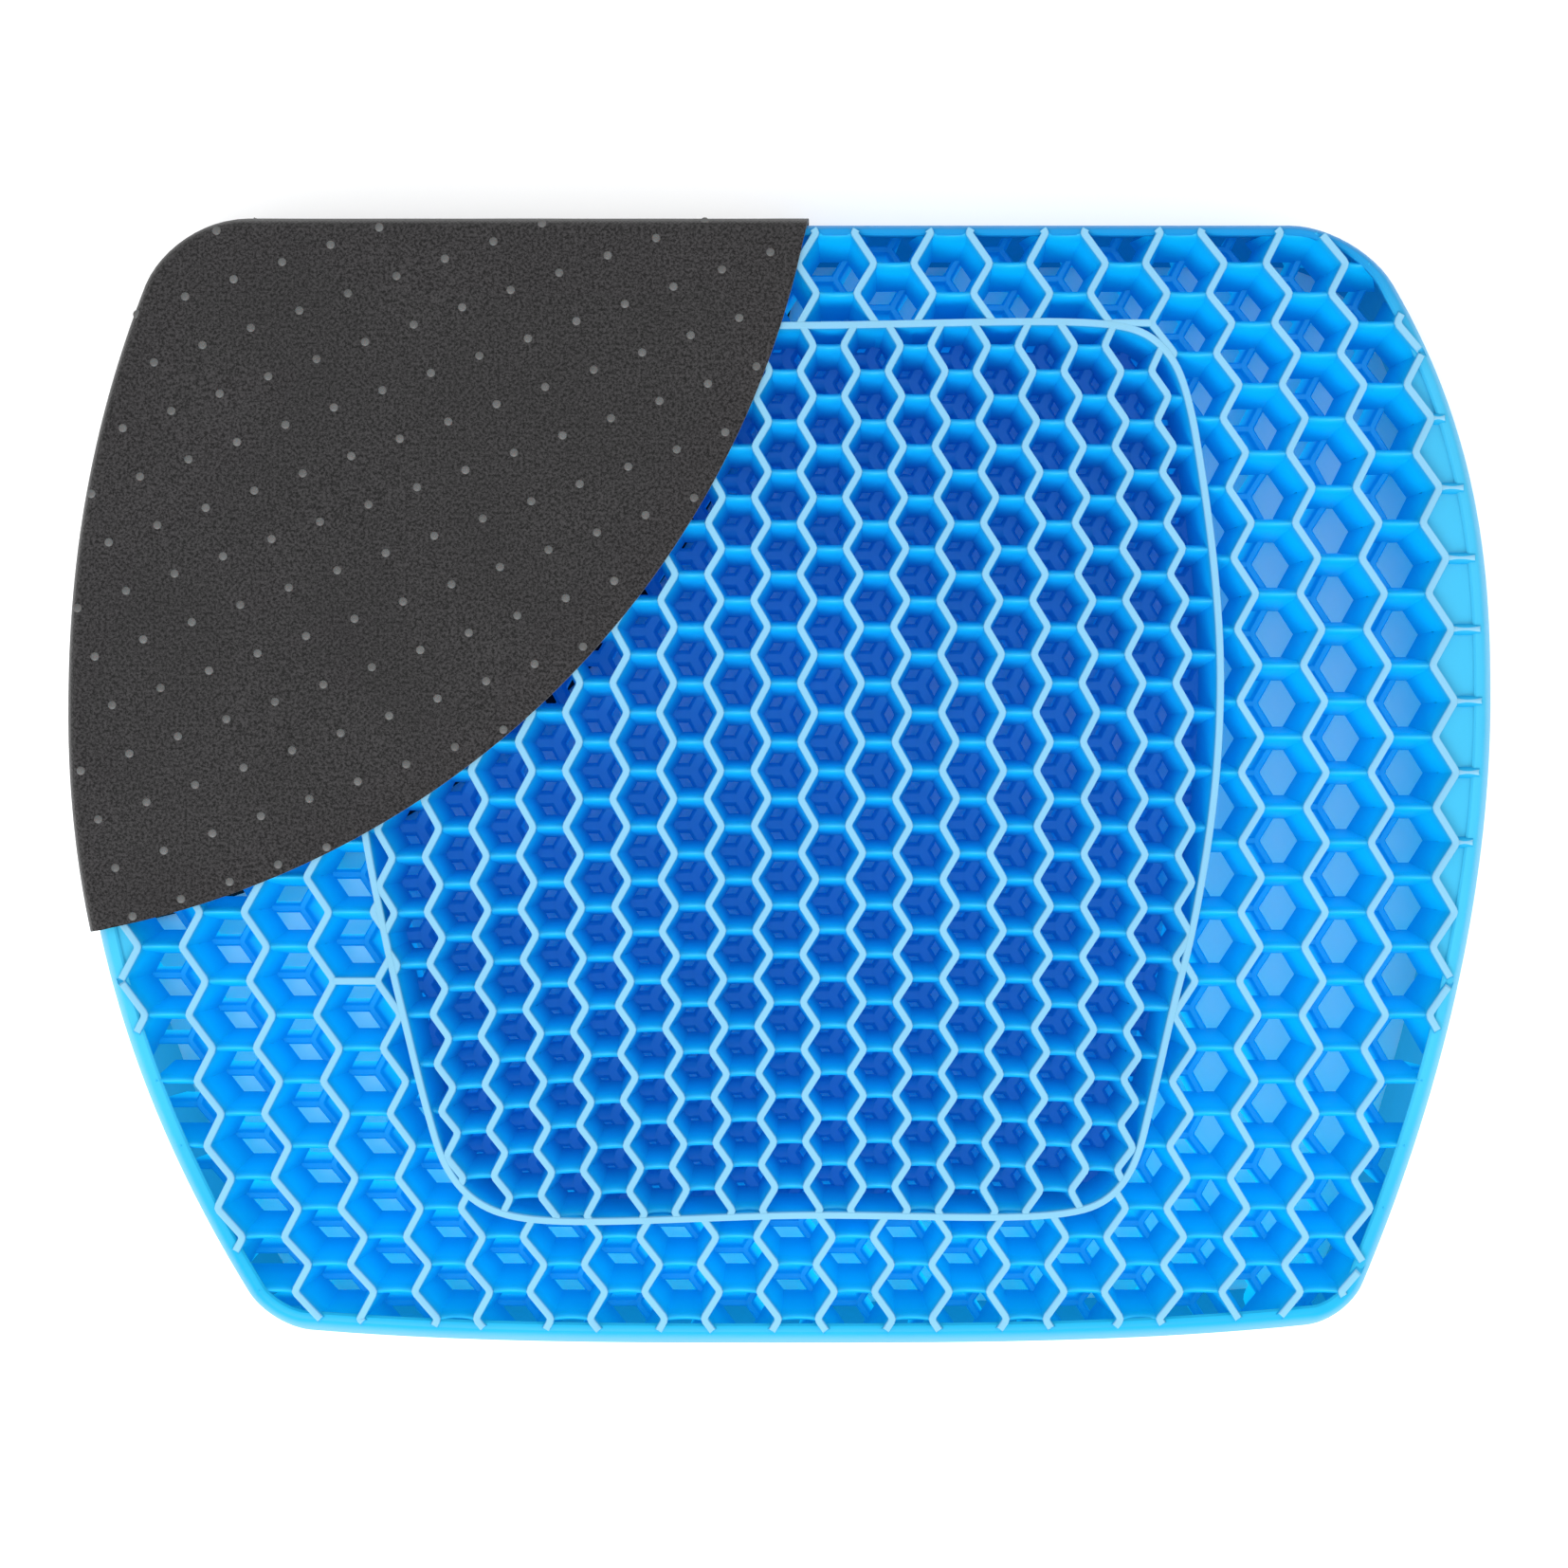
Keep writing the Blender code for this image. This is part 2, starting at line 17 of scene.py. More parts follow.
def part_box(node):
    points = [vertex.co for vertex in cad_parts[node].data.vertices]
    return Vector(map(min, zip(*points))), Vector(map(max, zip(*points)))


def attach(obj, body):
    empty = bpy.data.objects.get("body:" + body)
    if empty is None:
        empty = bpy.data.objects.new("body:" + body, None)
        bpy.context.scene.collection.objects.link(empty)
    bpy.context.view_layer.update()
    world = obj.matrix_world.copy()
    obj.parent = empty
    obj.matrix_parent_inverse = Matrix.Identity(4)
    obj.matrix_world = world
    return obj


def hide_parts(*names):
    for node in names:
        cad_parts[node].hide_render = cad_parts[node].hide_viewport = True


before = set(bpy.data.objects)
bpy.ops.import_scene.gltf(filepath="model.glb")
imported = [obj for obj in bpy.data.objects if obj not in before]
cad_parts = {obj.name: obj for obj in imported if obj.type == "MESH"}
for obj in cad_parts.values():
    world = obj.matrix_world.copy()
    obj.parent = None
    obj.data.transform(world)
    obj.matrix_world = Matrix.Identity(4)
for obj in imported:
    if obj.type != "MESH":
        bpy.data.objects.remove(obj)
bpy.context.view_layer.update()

MM = 0.001
RNG = np.random.default_rng(7)

# ------------------------------------------------------------------ pad outline (as in CAD)
REAR_Y = 172.0
FRONT_Y = -173.8
FRONT_BOW, FRONT_BOW_SPAN, FRONT_BOW_POWER = 4.1, 146.7, 3.0
RIGHT_X, RIGHT_WIDEST_Y = 220.0, 24.8
LEFT_X, LEFT_WIDEST_Y = -217.6, 20.4
RIGHT_REAR = (25.5, 120.3, 2.5)
RIGHT_FRONT = (36.7, 173.0, 1.9)
LEFT_REAR = (21.1, 124.7, 2.18)
LEFT_FRONT = (47.2, 168.6, 2.07)
REAR_CORNER, FRONT_CORNER = 22.0, 12.5
CENTRE_X = 0.5
UPPER_PROFILE = ((0.0, 20.15), (1.0, 27.0), (2.0, 33.0), (3.1, 37.4), (3.9, 39.3), (4.6, 40.0))
LOWER_PROFILE = ((8.0, 0.0), (6.6, 1.6), (5.0, 3.4), (3.4, 7.0), (2.6, 12.0), (2.0, 16.0), (0.8, 18.3), (0.0, 19.85))
SIDE_DRAFT = 1.65
COVER_OUT = 1.9
CUT_CENTRE = np.array((-258.0, 221.0))
CUT_RADIUS = 271.0
FABRIC = 1.4

_low, _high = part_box("gel_upper_layer")
SHIFT = np.array((_high.x / MM - RIGHT_X, _high.y / MM - REAR_Y, 0.0))


def front_edge(x):
    return FRONT_Y + FRONT_BOW * (abs(x - CENTRE_X) / FRONT_BOW_SPAN) ** FRONT_BOW_POWER


def right_edge(y):
    drop, span, power = RIGHT_REAR if y > RIGHT_WIDEST_Y else RIGHT_FRONT
    return RIGHT_X - drop * (abs(y - RIGHT_WIDEST_Y) / span) ** power


def left_edge(y):
    drop, span, power = LEFT_REAR if y > LEFT_WIDEST_Y else LEFT_FRONT
    return LEFT_X + drop * (abs(y - LEFT_WIDEST_Y) / span) ** power


def corner(edge):
    y = FRONT_Y
    for _ in range(20):
        y = front_edge(edge(y))
    return np.array((edge(y), y))


def lengths(line):
    return np.concatenate([[0.0], np.cumsum(np.linalg.norm(np.diff(line, axis=0), axis=1))])


def resample(line, step, closed=False):
    """Evenly spaced points along a line, with both ends kept."""
    line = np.asarray(line, float)
    if closed:
        line = np.vstack([line, line[:1]])
    s = lengths(line)
    n = max(1, int(round(s[-1] / step)))
    at = np.linspace(0, s[-1], n + 1)
    out = np.stack([np.interp(at, s, line[:, k]) for k in range(line.shape[1])], axis=1)
    return out[:-1] if closed else out


def trimmed(line, head, tail):
    s = lengths(line)
    keep = (s > head) & (s < s[-1] - tail)
    ends = [np.array([np.interp(v, s, line[:, k]) for k in range(2)]) for v in (head, s[-1] - tail)]
    return np.vstack([ends[0], line[keep], ends[1]])


def fillet(a, tip, b, steps=12):
    k = 0.56
    p, q = a + (tip - a) * k, b + (tip - b) * k
    t = np.linspace(0, 1, steps + 1)[1:-1, None]
    u = 1 - t
    return a * u**3 + p * 3 * u * u * t + q * 3 * u * t * t + b * t**3


def pad_outline(step):
    """The pad's widest line, anticlockwise from the rear edge's right end."""
    rear_left = np.array((left_edge(REAR_Y), REAR_Y))
    rear_right = np.array((right_edge(REAR_Y), REAR_Y))
    front_left, front_right = corner(left_edge), corner(right_edge)
    n = 120
    left = np.array([(left_edge(y), y) for y in np.linspace(REAR_Y, front_left[1], n)])
    right = np.array([(right_edge(y), y) for y in np.linspace(front_right[1], REAR_Y, n)])
    front = np.array([(x, front_edge(x)) for x in np.linspace(front_left[0], front_right[0], n)])
    runs = [
        trimmed(np.array((rear_right, rear_left)), REAR_CORNER, REAR_CORNER),
        trimmed(left, REAR_CORNER, FRONT_CORNER),
        trimmed(front, FRONT_CORNER, FRONT_CORNER),
        trimmed(right, FRONT_CORNER, REAR_CORNER),
    ]
    tips = [rear_left, front_left, front_right, rear_right]
    out = []
    for i, run in enumerate(runs):
        out.append(resample(run, step))
        out.append(fillet(run[-1], tips[i], runs[(i + 1) % 4][0]))
    return np.vstack(out)


def outward(line, closed=True):
    """Unit normals of an anticlockwise line, pointing out."""
    if closed:
        d = np.roll(line, -1, axis=0) - np.roll(line, 1, axis=0)
    else:
        d = np.gradient(line, axis=0)
    d /= np.linalg.norm(d, axis=1, keepdims=True)
    return np.stack([d[:, 1], -d[:, 0]], axis=1)


OUTLINE = pad_outline(3.0)
NORMALS = outward(OUTLINE)


def draft(n):
    """How much more the front and sides of the upper layer lean in than the rear edge."""
    return 1.0 + (SIDE_DRAFT - 1.0) * (1.0 - np.maximum(0.0, n[..., 1]) ** 2)


def signed(points, line):
    """Distance to a closed line, negative inside, and the index of the nearest segment."""
    points = np.atleast_2d(points)
    a, b = line, np.roll(line, -1, axis=0)
    d = b - a
    out, near = np.empty(len(points)), np.empty(len(points), int)
    for lo in range(0, len(points), 4000):
        p = points[lo : lo + 4000]
        ap = p[:, None] - a[None]
        t = np.clip((ap * d).sum(-1) / np.maximum((d * d).sum(-1), 1e-12), 0, 1)
        gap = np.linalg.norm(ap - t[..., None] * d, axis=-1)
        near[lo : lo + 4000] = gap.argmin(1)
        y0, y1 = a[None, :, 1] > p[:, None, 1], b[None, :, 1] > p[:, None, 1]
        with np.errstate(divide="ignore", invalid="ignore"):
            x = a[:, 0] + (p[:, None, 1] - a[:, 1]) / (b[:, 1] - a[:, 1]) * d[:, 0]
        inside = ((y0 != y1) & (p[:, None, 0] < x)).sum(1) % 2 == 1
        out[lo : lo + 4000] = np.where(inside, -1, 1) * gap.min(1)
    return out, near


def profile_inset(profile, z):
    zs = np.array([q[1] for q in profile])
    ins = np.array([q[0] for q in profile])
    return np.interp(z, zs, ins)


def edge_gap(points, z, upper=True):
    """How far inside the pad's own surface these points are at height z (positive inside)."""
    d, near = signed(points, OUTLINE)
    if upper:
        inset = profile_inset(UPPER_PROFILE, z) * draft(NORMALS[near])
    else:
        inset = profile_inset(LOWER_PROFILE, z) * np.ones(len(d))
    return -d - inset


# ------------------------------------------------------------------ lattice rows and walls
def through(stations, v):
    """A smooth curve through stations (v, value)."""
    v = np.asarray(v, float)
    x = np.array([s[0] for s in stations], float)
    y = np.array([s[1] for s in stations], float)
    m = np.gradient(y, x)
    k = np.clip(np.searchsorted(x, v, side="right") - 1, 0, len(x) - 2)
    h = x[k + 1] - x[k]
    t = (v - x[k]) / h
    inside = y[k] * (1 + 2 * t) * (1 - t) ** 2 + h * m[k] * t * (1 - t) ** 2 + y[k + 1] * t * t * (3 - 2 * t) + h * m[k + 1] * t * t * (t - 1)
    inside = np.where(t < 0, y[0] + (v - x[0]) * m[0], inside)
    return np.where(t > 1, y[-1] + (v - x[-1]) * m[-1], inside)


OUTER_ROWS = ((0, 157.5), (2, 120.6), (4, 78.7), (8, -7.9), (12, -91.0), (14, -129.6), (16, -163.2))
INNER_ROWS = ((0, 132.4), (3, 86.4), (6, 38.7), (8, 3.4), (10, -29.6), (13, -74.1), (17, -129.9))


def outer_vertex(i, h):
    y = through(OUTER_ROWS, h / 2)
    s = 18.84 - 1.18 * ((y - 5.6) / 148.0) ** 2
    x0 = -9.47 + 5.18 * np.clip((153.7 - y) / 296.2, 0, None) ** 3
    tip = np.where((i + h) % 2 == 0, 1.0, -1.0)
    x = x0 + s * i + tip * s / 6
    x = x + 0.046 * np.sign(x) * np.maximum(np.abs(x) - 115.0, 0.0)  # the side columns are a little wider
    return np.stack([x, y], axis=-1)


def inner_vertex(i, h):
    y = through(INNER_ROWS, h / 2)
    s = 14.32 - 0.78 * ((y + 1.6) / 113.6) ** 2
    x0 = 8.08 + 1.72 * np.clip((110.6 - y) / 227.2, 0, None) ** 2
    tip = np.where((i + h) % 2 == 0, 1.0, -1.0)
    x = x0 + s * i + tip * s / 6
    droop = 4.0 * ((x - 23.6) / 115.0) ** 2 * np.clip((h / 2 - 8) / 6, 0, 1)
    return np.stack([x, y - droop], axis=-1)


RIB_POINTS = np.array(
    (
        (99.8, 139.0), (6.6, 138.6), (-93.0, 138.0), (-106.0, 135.6), (-114.6, 127.0), (-119.5, 113.0),
        (-125.0, 82.0), (-129.5, 45.0), (-129.6, 14.0), (-126.2, -15.4), (-119.3, -50.5), (-113.6, -74.6),
        (-106.6, -102.2), (-101.2, -118.0), (-92.2, -128.0), (-78.2, -132.7), (8.0, -131.7), (85.0, -131.4),
        (99.0, -127.6), (107.4, -117.0), (111.6, -102.2), (120.0, -66.3), (125.2, -45.5), (131.8, -5.0),
        (133.8, 32.6), (131.8, 66.0), (127.3, 99.1), (124.3, 115.0), (119.8, 128.0), (111.6, 136.2),
    )
)


def smooth_closed(points, step=2.0):
    """A Catmull-Rom curve through a closed set of points."""
    n = len(points)
    out = []
    for i in range(n):
        p0, p1, p2, p3 = (points[(i + k) % n] for k in (-1, 0, 1, 2))
        d1, d2 = np.linalg.norm(p2 - p1), 1e-9
        m = max(2, int(d1 / step))
        t = np.linspace(0, 1, m, endpoint=False)[:, None]
        # centripetal tangents
        a, b, c = (max(np.linalg.norm(q - p), 1e-6) ** 0.5 for p, q in ((p0, p1), (p1, p2), (p2, p3)))
        m1 = (p1 - p0) / a - (p2 - p0) / (a + b) + (p2 - p1) / b
        m2 = (p2 - p1) / b - (p3 - p1) / (b + c) + (p3 - p2) / c
        m1, m2 = m1 * b, m2 * b
        out.append((2 * t**3 - 3 * t**2 + 1) * p1 + (t**3 - 2 * t**2 + t) * m1 + (-2 * t**3 + 3 * t**2) * p2 + (t**3 - t**2) * m2)
    return resample(np.vstack(out), step, closed=True)


RIB = smooth_closed(RIB_POINTS)
for _ in range(10):
    RIB = 0.5 * RIB + 0.25 * (np.roll(RIB, 1, axis=0) + np.roll(RIB, -1, axis=0))


# ------------------------------------------------------------------ mesh building
class Builder:
    """Collects closed solids as rings of points and turns them into one mesh."""

    def __init__(self):
        self.verts, self.faces, self.zone = [], [], []
        self.count = 0

    def add(self, verts, faces, zone=0.0):
        verts = np.asarray(verts, float)
        self.verts.append(verts)
        self.faces.extend([tuple(int(k) + self.count for k in f) for f in faces])
        self.zone.append(np.full(len(verts), zone) if np.isscalar(zone) else np.asarray(zone, float))
        self.count += len(verts)

    def tube(self, rings, closed=False, zone=0.0):
        """rings: (n, m, 3) cross-sections joined in order; capped at both ends if open."""
        rings = np.asarray(rings, float)
        n, m = rings.shape[:2]
        faces = []
        for i in range(n if closed else n - 1):
            a, b = i * m, ((i + 1) % n) * m
            for k in range(m):
                k2 = (k + 1) % m
                faces.append((a + k, a + k2, b + k2, b + k))
        if not closed:
            faces.append(tuple(range(m))[::-1])
            faces.append(tuple((n - 1) * m + k for k in range(m)))
        self.add(rings.reshape(-1, 3), faces, zone if np.isscalar(zone) else np.repeat(zone, m))

    def object(self, name, materials, sharp=38.0, zone_name="zone"):
        verts = (np.vstack(self.verts) + SHIFT) * MM
        mesh = bpy.data.meshes.new(name)
        mesh.from_pydata(verts.tolist(), [], self.faces)
        attribute = mesh.attributes.new(zone_name, "FLOAT", "POINT")
        attribute.data.foreach_set("value", np.concatenate(self.zone).astype(np.float32))
        for m in materials:
            mesh.materials.append(m)
        bm = bmesh.new()
        bm.from_mesh(mesh)
        bmesh.ops.recalc_face_normals(bm, faces=bm.faces)
        bm.to_mesh(mesh)
        bm.free()
        mesh.shade_smooth()
        if sharp:
            mesh.set_sharp_from_angle(angle=math.radians(sharp))
        obj = bpy.data.objects.new(name, mesh)
        bpy.context.scene.collection.objects.link(obj)
        return obj


def miters(path, closed=False):
    """Sideways vectors (to the left of the way along) that keep a ribbon's width at bends."""
    d = np.diff(np.vstack([path, path[:1]]) if closed else path, axis=0)
    d /= np.maximum(np.linalg.norm(d, axis=1, keepdims=True), 1e-9)
    if closed:
        before, after = np.roll(d, 1, axis=0), d
    else:
        before, after = np.vstack([d[:1], d]), np.vstack([d, d[-1:]])
    t = before + after
    t /= np.maximum(np.linalg.norm(t, axis=1, keepdims=True), 1e-9)
    cos = np.clip((t * after).sum(1), 0.5, 1)
    return np.stack([-t[:, 1], t[:, 0]], axis=1) / cos[:, None]


SPLAY = 0.00062  # the walls fan out from the middle of the pad towards its top


def splayed(points, z):
    """Where a wall point drawn at the top face lies at height z."""
    points = np.asarray(points, float)
    return points * (1.0 - SPLAY * (40.0 - np.asarray(z, float)))[..., None]


def ribbon(builder, path, levels, reach=None, closed=False, zone=0.0, lift=None):
    """A standing wall along path. levels: (z, half width) from bottom to top. reach: for each
    end, how far past it the wall runs at each level. lift: lowest z at each path point."""
    path = np.asarray(path, float)
    side = miters(path, closed)
    rings = np.empty((len(path), 2 * len(levels), 3))
    order = list(enumerate(levels))
    slots = [(k, z, w, 1) for k, (z, w) in order] + [(k, z, w, -1) for k, (z, w) in order[::-1]]
    d0 = (path[0] - path[1]) / np.linalg.norm(path[0] - path[1])
    d1 = (path[-1] - path[-2]) / np.linalg.norm(path[-1] - path[-2])
    for j, (k, z, w, sign) in enumerate(slots):
        xy = path - sign * side * w
        if reach is not None and not closed:
            xy[0] += d0 * reach[0][k]
            xy[-1] += d1 * reach[1][k]
        rings[:, j, 2] = z if lift is None else np.maximum(z, lift)
        rings[:, j, :2] = splayed(xy, rings[:, j, 2])
    builder.tube(rings, closed, zone)


def rounded_zigzag(points, cut=1.15, mids=0):
    """A zigzag with each bend eased by a short arc, and mids points along each straight."""
    out = [points[0]]
    for i in range(1, len(points)):
        a, b = points[i - 1], points[i]
        start = out[-1]
        if i < len(points) - 1:
            c = points[i + 1]
            la, lc = np.linalg.norm(b - a), np.linalg.norm(c - b)
            t = min(cut, la * 0.4, lc * 0.4)
            p, q = b + (a - b) / la * t, b + (c - b) / lc * t
            m = 0.25 * p + 0.5 * b + 0.25 * q
            for k in range(1, mids + 1):
                out.append(start + (p - start) * k / (mids + 1))
            out += [p, m, q]
        else:
            for k in range(1, mids + 1):
                out.append(start + (b - start) * k / (mids + 1))
            out.append(b)
    return np.array(out)


def inside_runs(points, keep, step=0.4):
    """The parts of a polyline where keep(points) is true, as (polyline, open start, open end)."""
    s = lengths(points)
    at = np.linspace(0, s[-1], max(2, int(s[-1] / step) + 1))
    xy = np.stack([np.interp(at, s, points[:, k]) for k in range(2)], axis=1)
    mask = keep(xy)
    runs, k = [], 0
    while k < len(at):
        if not mask[k]:
            k += 1
            continue
        e = k
        while e + 1 < len(at) and mask[e + 1]:
            e += 1
        if at[e] - at[k] > 2.4:
            between = (s > at[k] + 0.8) & (s < at[e] - 0.8)
            runs.append(np.vstack([xy[k], points[between], xy[e]]))
        k = e + 1
    return runs


def reach_to_skin(tip, direction, levels, upper):
    """How far a wall's end runs at each height to meet the outer skin from inside."""
    along = np.arange(0.0, 22.0, 0.25)
    pts = tip[None] + direction[None] * along[:, None]
    under_cloth = in_cut(tip, 8.0)[0]
    out = []
    for z, half in levels:
        gap = edge_gap(splayed(pts, np.full(len(pts), z)), z, upper) - (0.4 if upper else 0.9) - 0.8 * half
        if upper and z > 39.0 and not under_cloth:
            gap += 1.2  # the crests run on over the rim's shoulder
        bad = np.nonzero(gap < 0)[0]
        out.append(along[max(0, (bad[0] if len(bad) else len(along)) - 1)])
    return np.array(out)


# half widths of the walls by height, of each layer and zone: thickest where the layers meet
UP_OUTER = ((19.3, 3.3), (24.0, 2.8), (30.0, 2.1), (35.5, 1.42), (39.45, 1.1), (39.85, 1.0), (40.0, 0.82))
UP_INNER = ((19.3, 3.1), (24.0, 2.65), (30.0, 1.95), (35.5, 1.4), (39.45, 1.1), (39.85, 1.0), (40.0, 0.82))
UP_RIB = ((19.3, 3.0), (27.0, 2.1), (35.0, 1.36), (39.5, 1.1), (39.95, 1.0), (40.12, 0.8))
DOWN_OUTER = ((0.0, 0.82), (0.15, 1.0), (0.55, 1.1), (5.0, 1.2), (13.0, 1.35), (18.6, 1.5), (19.9, 1.25), (20.6, 0.7))
DOWN_INNER = ((0.0, 0.82), (0.15, 1.0), (0.55, 1.1), (5.0, 1.36), (13.0, 1.9), (18.4, 2.5), (19.9, 2.1), (20.6, 1.3))


def bar(builder, p, q, upper, zone, reach_p=None, reach_q=None, full=1.0, wide=0.0, lift=0.0):
    """A wall between two zigzags, running along X, with a saddle-shaped free edge."""
    t = np.linspace(0, 1, 6 if upper else 5)
    length = np.linalg.norm(q - p)
    d = (q - p) / length
    n = np.array((-d[1], d[0]))
    rings = []
    for k, u in enumerate(t):
        hump = math.sin(math.pi * u)
        sag = (1.0 + 1.5 * hump**0.8) * full
        w = 0.78 + 0.14 * hump + wide
        c = p + d * length * u
        if upper:
            top = 40.0 - sag
            foot = 3.7 if zone else 3.5
            side = [(19.3, foot), (23.5, foot * 0.86), (29.0, foot * 0.62), (top - 4.0, 1.6), (top - 2.0, w + 0.4), (top - 0.9, w + 0.04), (top - 0.3, w * 0.62), (top - 0.06, w * 0.26), (top, 0.0)]
        else:
            low = max(sag, lift)
            foot = 1.5 if zone else 2.5
            side = [(low, 0.0), (low + 0.06, w * 0.26), (low + 0.3, w * 0.62), (low + 0.9, w + 0.04), (low + 2.0, w + 0.24), (11.0, 1.3 if zone else 1.8), (18.5, foot), (19.9, foot * 0.84), (20.58, foot * 0.5)]
        ring = []
        for z, h in side:
            ring.append((*(c - n * h), z))
        for z, h in side[::-1]:
            if h > 0:
                ring.append((*(c + n * h), z))
        rings.append(ring)
    rings = np.array(rings)
    if reach_p is not None:
        zs = rings[0, :, 2]
        rings[0, :, :2] -= d * np.interp(zs, reach_p[0], reach_p[1])[:, None]
    if reach_q is not None:
        zs = rings[-1, :, 2]
        rings[-1, :, :2] += d * np.interp(zs, reach_q[0], reach_q[1])[:, None]
    rings[:, :, :2] = splayed(rings[:, :, :2], rings[:, :, 2])
    builder.tube(rings, False, zone)


def in_cut(points, grow):
    return np.linalg.norm(np.atleast_2d(points) - CUT_CENTRE, axis=1) < CUT_RADIUS + grow


def lift_under_cover(points):
    """The gel sinks round the cover's bottom panel, and lies flat elsewhere."""
    d = np.linalg.norm(np.atleast_2d(points) - CUT_CENTRE, axis=1) - CUT_RADIUS
    t = np.clip((d - 1.2) / 2.5, 0, 1)
    return 1.7 * (1 - t * t * (3 - 2 * t))


def lattice(builder, upper):
    face = 40.0 if upper else 0.0
    rim_top = -0.6 if upper else 0.15

    def outer_keep(p):
        return (edge_gap(splayed(p, np.full(len(p), face)), face, upper) > rim_top) & (signed(p, RIB)[0] > 0)

    def inner_keep(p):
        return signed(p, RIB)[0] < 0

    for vertex, keep, walls, rows, zone in (
        (outer_vertex, outer_keep, range(-14, 14), range(-2, 36), 1.0),
        (inner_vertex, inner_keep, range(-13, 12), range(-3, 39), 0.0),
    ):
        h = np.array(list(rows))
        levels = (UP_OUTER if zone else UP_INNER) if upper else (DOWN_OUTER if zone else DOWN_INNER)
        zs = [z for z, _ in levels]
        for i in walls:
            pts = vertex(i, h)
            if not upper:
                pts = pts + pitch_shift(vertex, i, h)
            for run in inside_runs(pts, keep):
                line = rounded_zigzag(run)
                reach = []
                for tip, prev in ((run[0], run[1]), (run[-1], run[-2])):
                    d = (tip - prev) / np.linalg.norm(tip - prev)
                    if zone and abs(signed(tip, RIB)[0][0]) > 1.5:
                        reach.append(reach_to_skin(tip, d, levels, upper))
                    else:
                        reach.append(np.zeros(len(zs)))
                ribbon(builder, line, levels, reach, zone=zone, lift=None if upper else lift_under_cover(splayed(line, np.zeros(len(line)))))
            for row in h:
                if (i + row) % 2:
                    continue
                p, q = vertex(i, row), vertex(i + 1, row)
                if not upper:
                    p, q = p + pitch_shift(vertex, i, row), q + pitch_shift(vertex, i + 1, row)
                d = (q - p) / np.linalg.norm(q - p)
                p, q = p + d * 0.35, q - d * 0.35
                for run in inside_runs(np.array((p, q)), keep, 0.25):
                    a, b = run[0], run[-1]
                    ends = []
                    for tip, other, d1 in ((a, p, -d), (b, q, d)):
                        if zone and np.linalg.norm(tip - other) > 0.3 and abs(signed(tip, RIB)[0][0]) > 1.5:
                            zz = np.array([z for z, _ in levels])
                            ends.append((zz, reach_to_skin(tip, d1, levels, upper)))
                        else:
                            ends.append(None)
                    lift = float(lift_under_cover(splayed((a + b) / 2, 0.0))[0]) if not upper else 0.0
                    if upper and zone and i in (11, -11):  # the ribs of the shallow side cells
                        bar(builder, a, b, upper, zone, ends[0], ends[1], full=0.2, wide=0.45)
                    else:
                        bar(builder, a, b, upper, zone, ends[0], ends[1], lift=lift)
    # the rib between the two zones
    ribbon(builder, RIB, UP_RIB if upper else DOWN_OUTER, closed=True, zone=0.5, lift=None if upper else lift_under_cover(splayed(RIB, np.zeros(len(RIB)))))
    if upper:
        # two cell sides beside the rib stand at full height
        raised = [(z + 0.05, half) if z > 39.0 else (z, half) for z, half in UP_OUTER]
        for tip, joint in (((-134.2, -61.3), (-122.3, -61.3)), ((101.7, 141.4), (114.9, 140.6))):
            line = [nearest_vertex(outer_vertex, tip), nearest_vertex(outer_vertex, joint)]
            ribbon(builder, rounded_zigzag(np.array(line)), raised, zone=1.0)
        for i, side in ((11, 1.0), (-10, -1.0)):
            for run in inside_runs(outer_vertex(i, np.arange(-2, 36)), outer_keep):
                side_web(builder, rounded_zigzag(run), side)


def nearest_vertex(vertex, p):
    found = [vertex(i, h) for i in range(-14, 14) for h in range(-2, 36)]
    return min(found, key=lambda v: np.hypot(v[0] - p[0], v[1] - p[1]))


def side_web(builder, line, side):
    """The side cells beyond the last zigzag are closed by gel that slopes to the rim."""
    rings = []
    along = np.arange(0.0, 40.0, 0.25)
    for p in line:
        pts = p[None] + np.array((side, 0.0))[None] * along[:, None]
        gap = edge_gap(pts, 37.0, True) - 0.7
        reach = along[max(1, np.nonzero(gap < 0)[0][0] - 1)] if (gap < 0).any() else 0.5
        ring = [(p[0] + side * reach * t, p[1], z) for t, z in ((0.0, 38.2), (0.12, 37.75), (0.35, 37.3), (0.65, 37.3), (0.88, 37.8), (1.0, 38.1))]
        ring += [(p[0] + side * reach * t, p[1], z) for t, z in ((1.0, 35.4), (0.6, 34.0), (0.0, 33.4))]
        rings.append(ring if side < 0 else ring[::-1])
    builder.tube(np.array(rings), False, 1.5)


def eased(t):
    t = np.clip(t, 0.0, 1.0)
    return t * t * (3 - 2 * t)


def pitch_shift(vertex, i, h):
    """The lower layer is staggered by one cell side, so its joints lie under the upper cells' middles.
    Along the right side it sits a little further in, as the photograph shows."""
    here = vertex(i, h)
    step = vertex(i + 2, h)[..., 0] - here[..., 0]
    out = np.zeros(np.shape(step) + (2,))
    out[..., 0] = step / 3.0
    if vertex is outer_vertex:
        x, y = here[..., 0], here[..., 1]
        out[..., 0] -= 4.2 * eased((x - 95.0) / 30.0) * eased((112.0 - y) / 40.0) * eased((y + 140.0) / 40.0)
        out[..., 0] += 1.6 * eased((-100.0 - y) / 28.0)
    return out


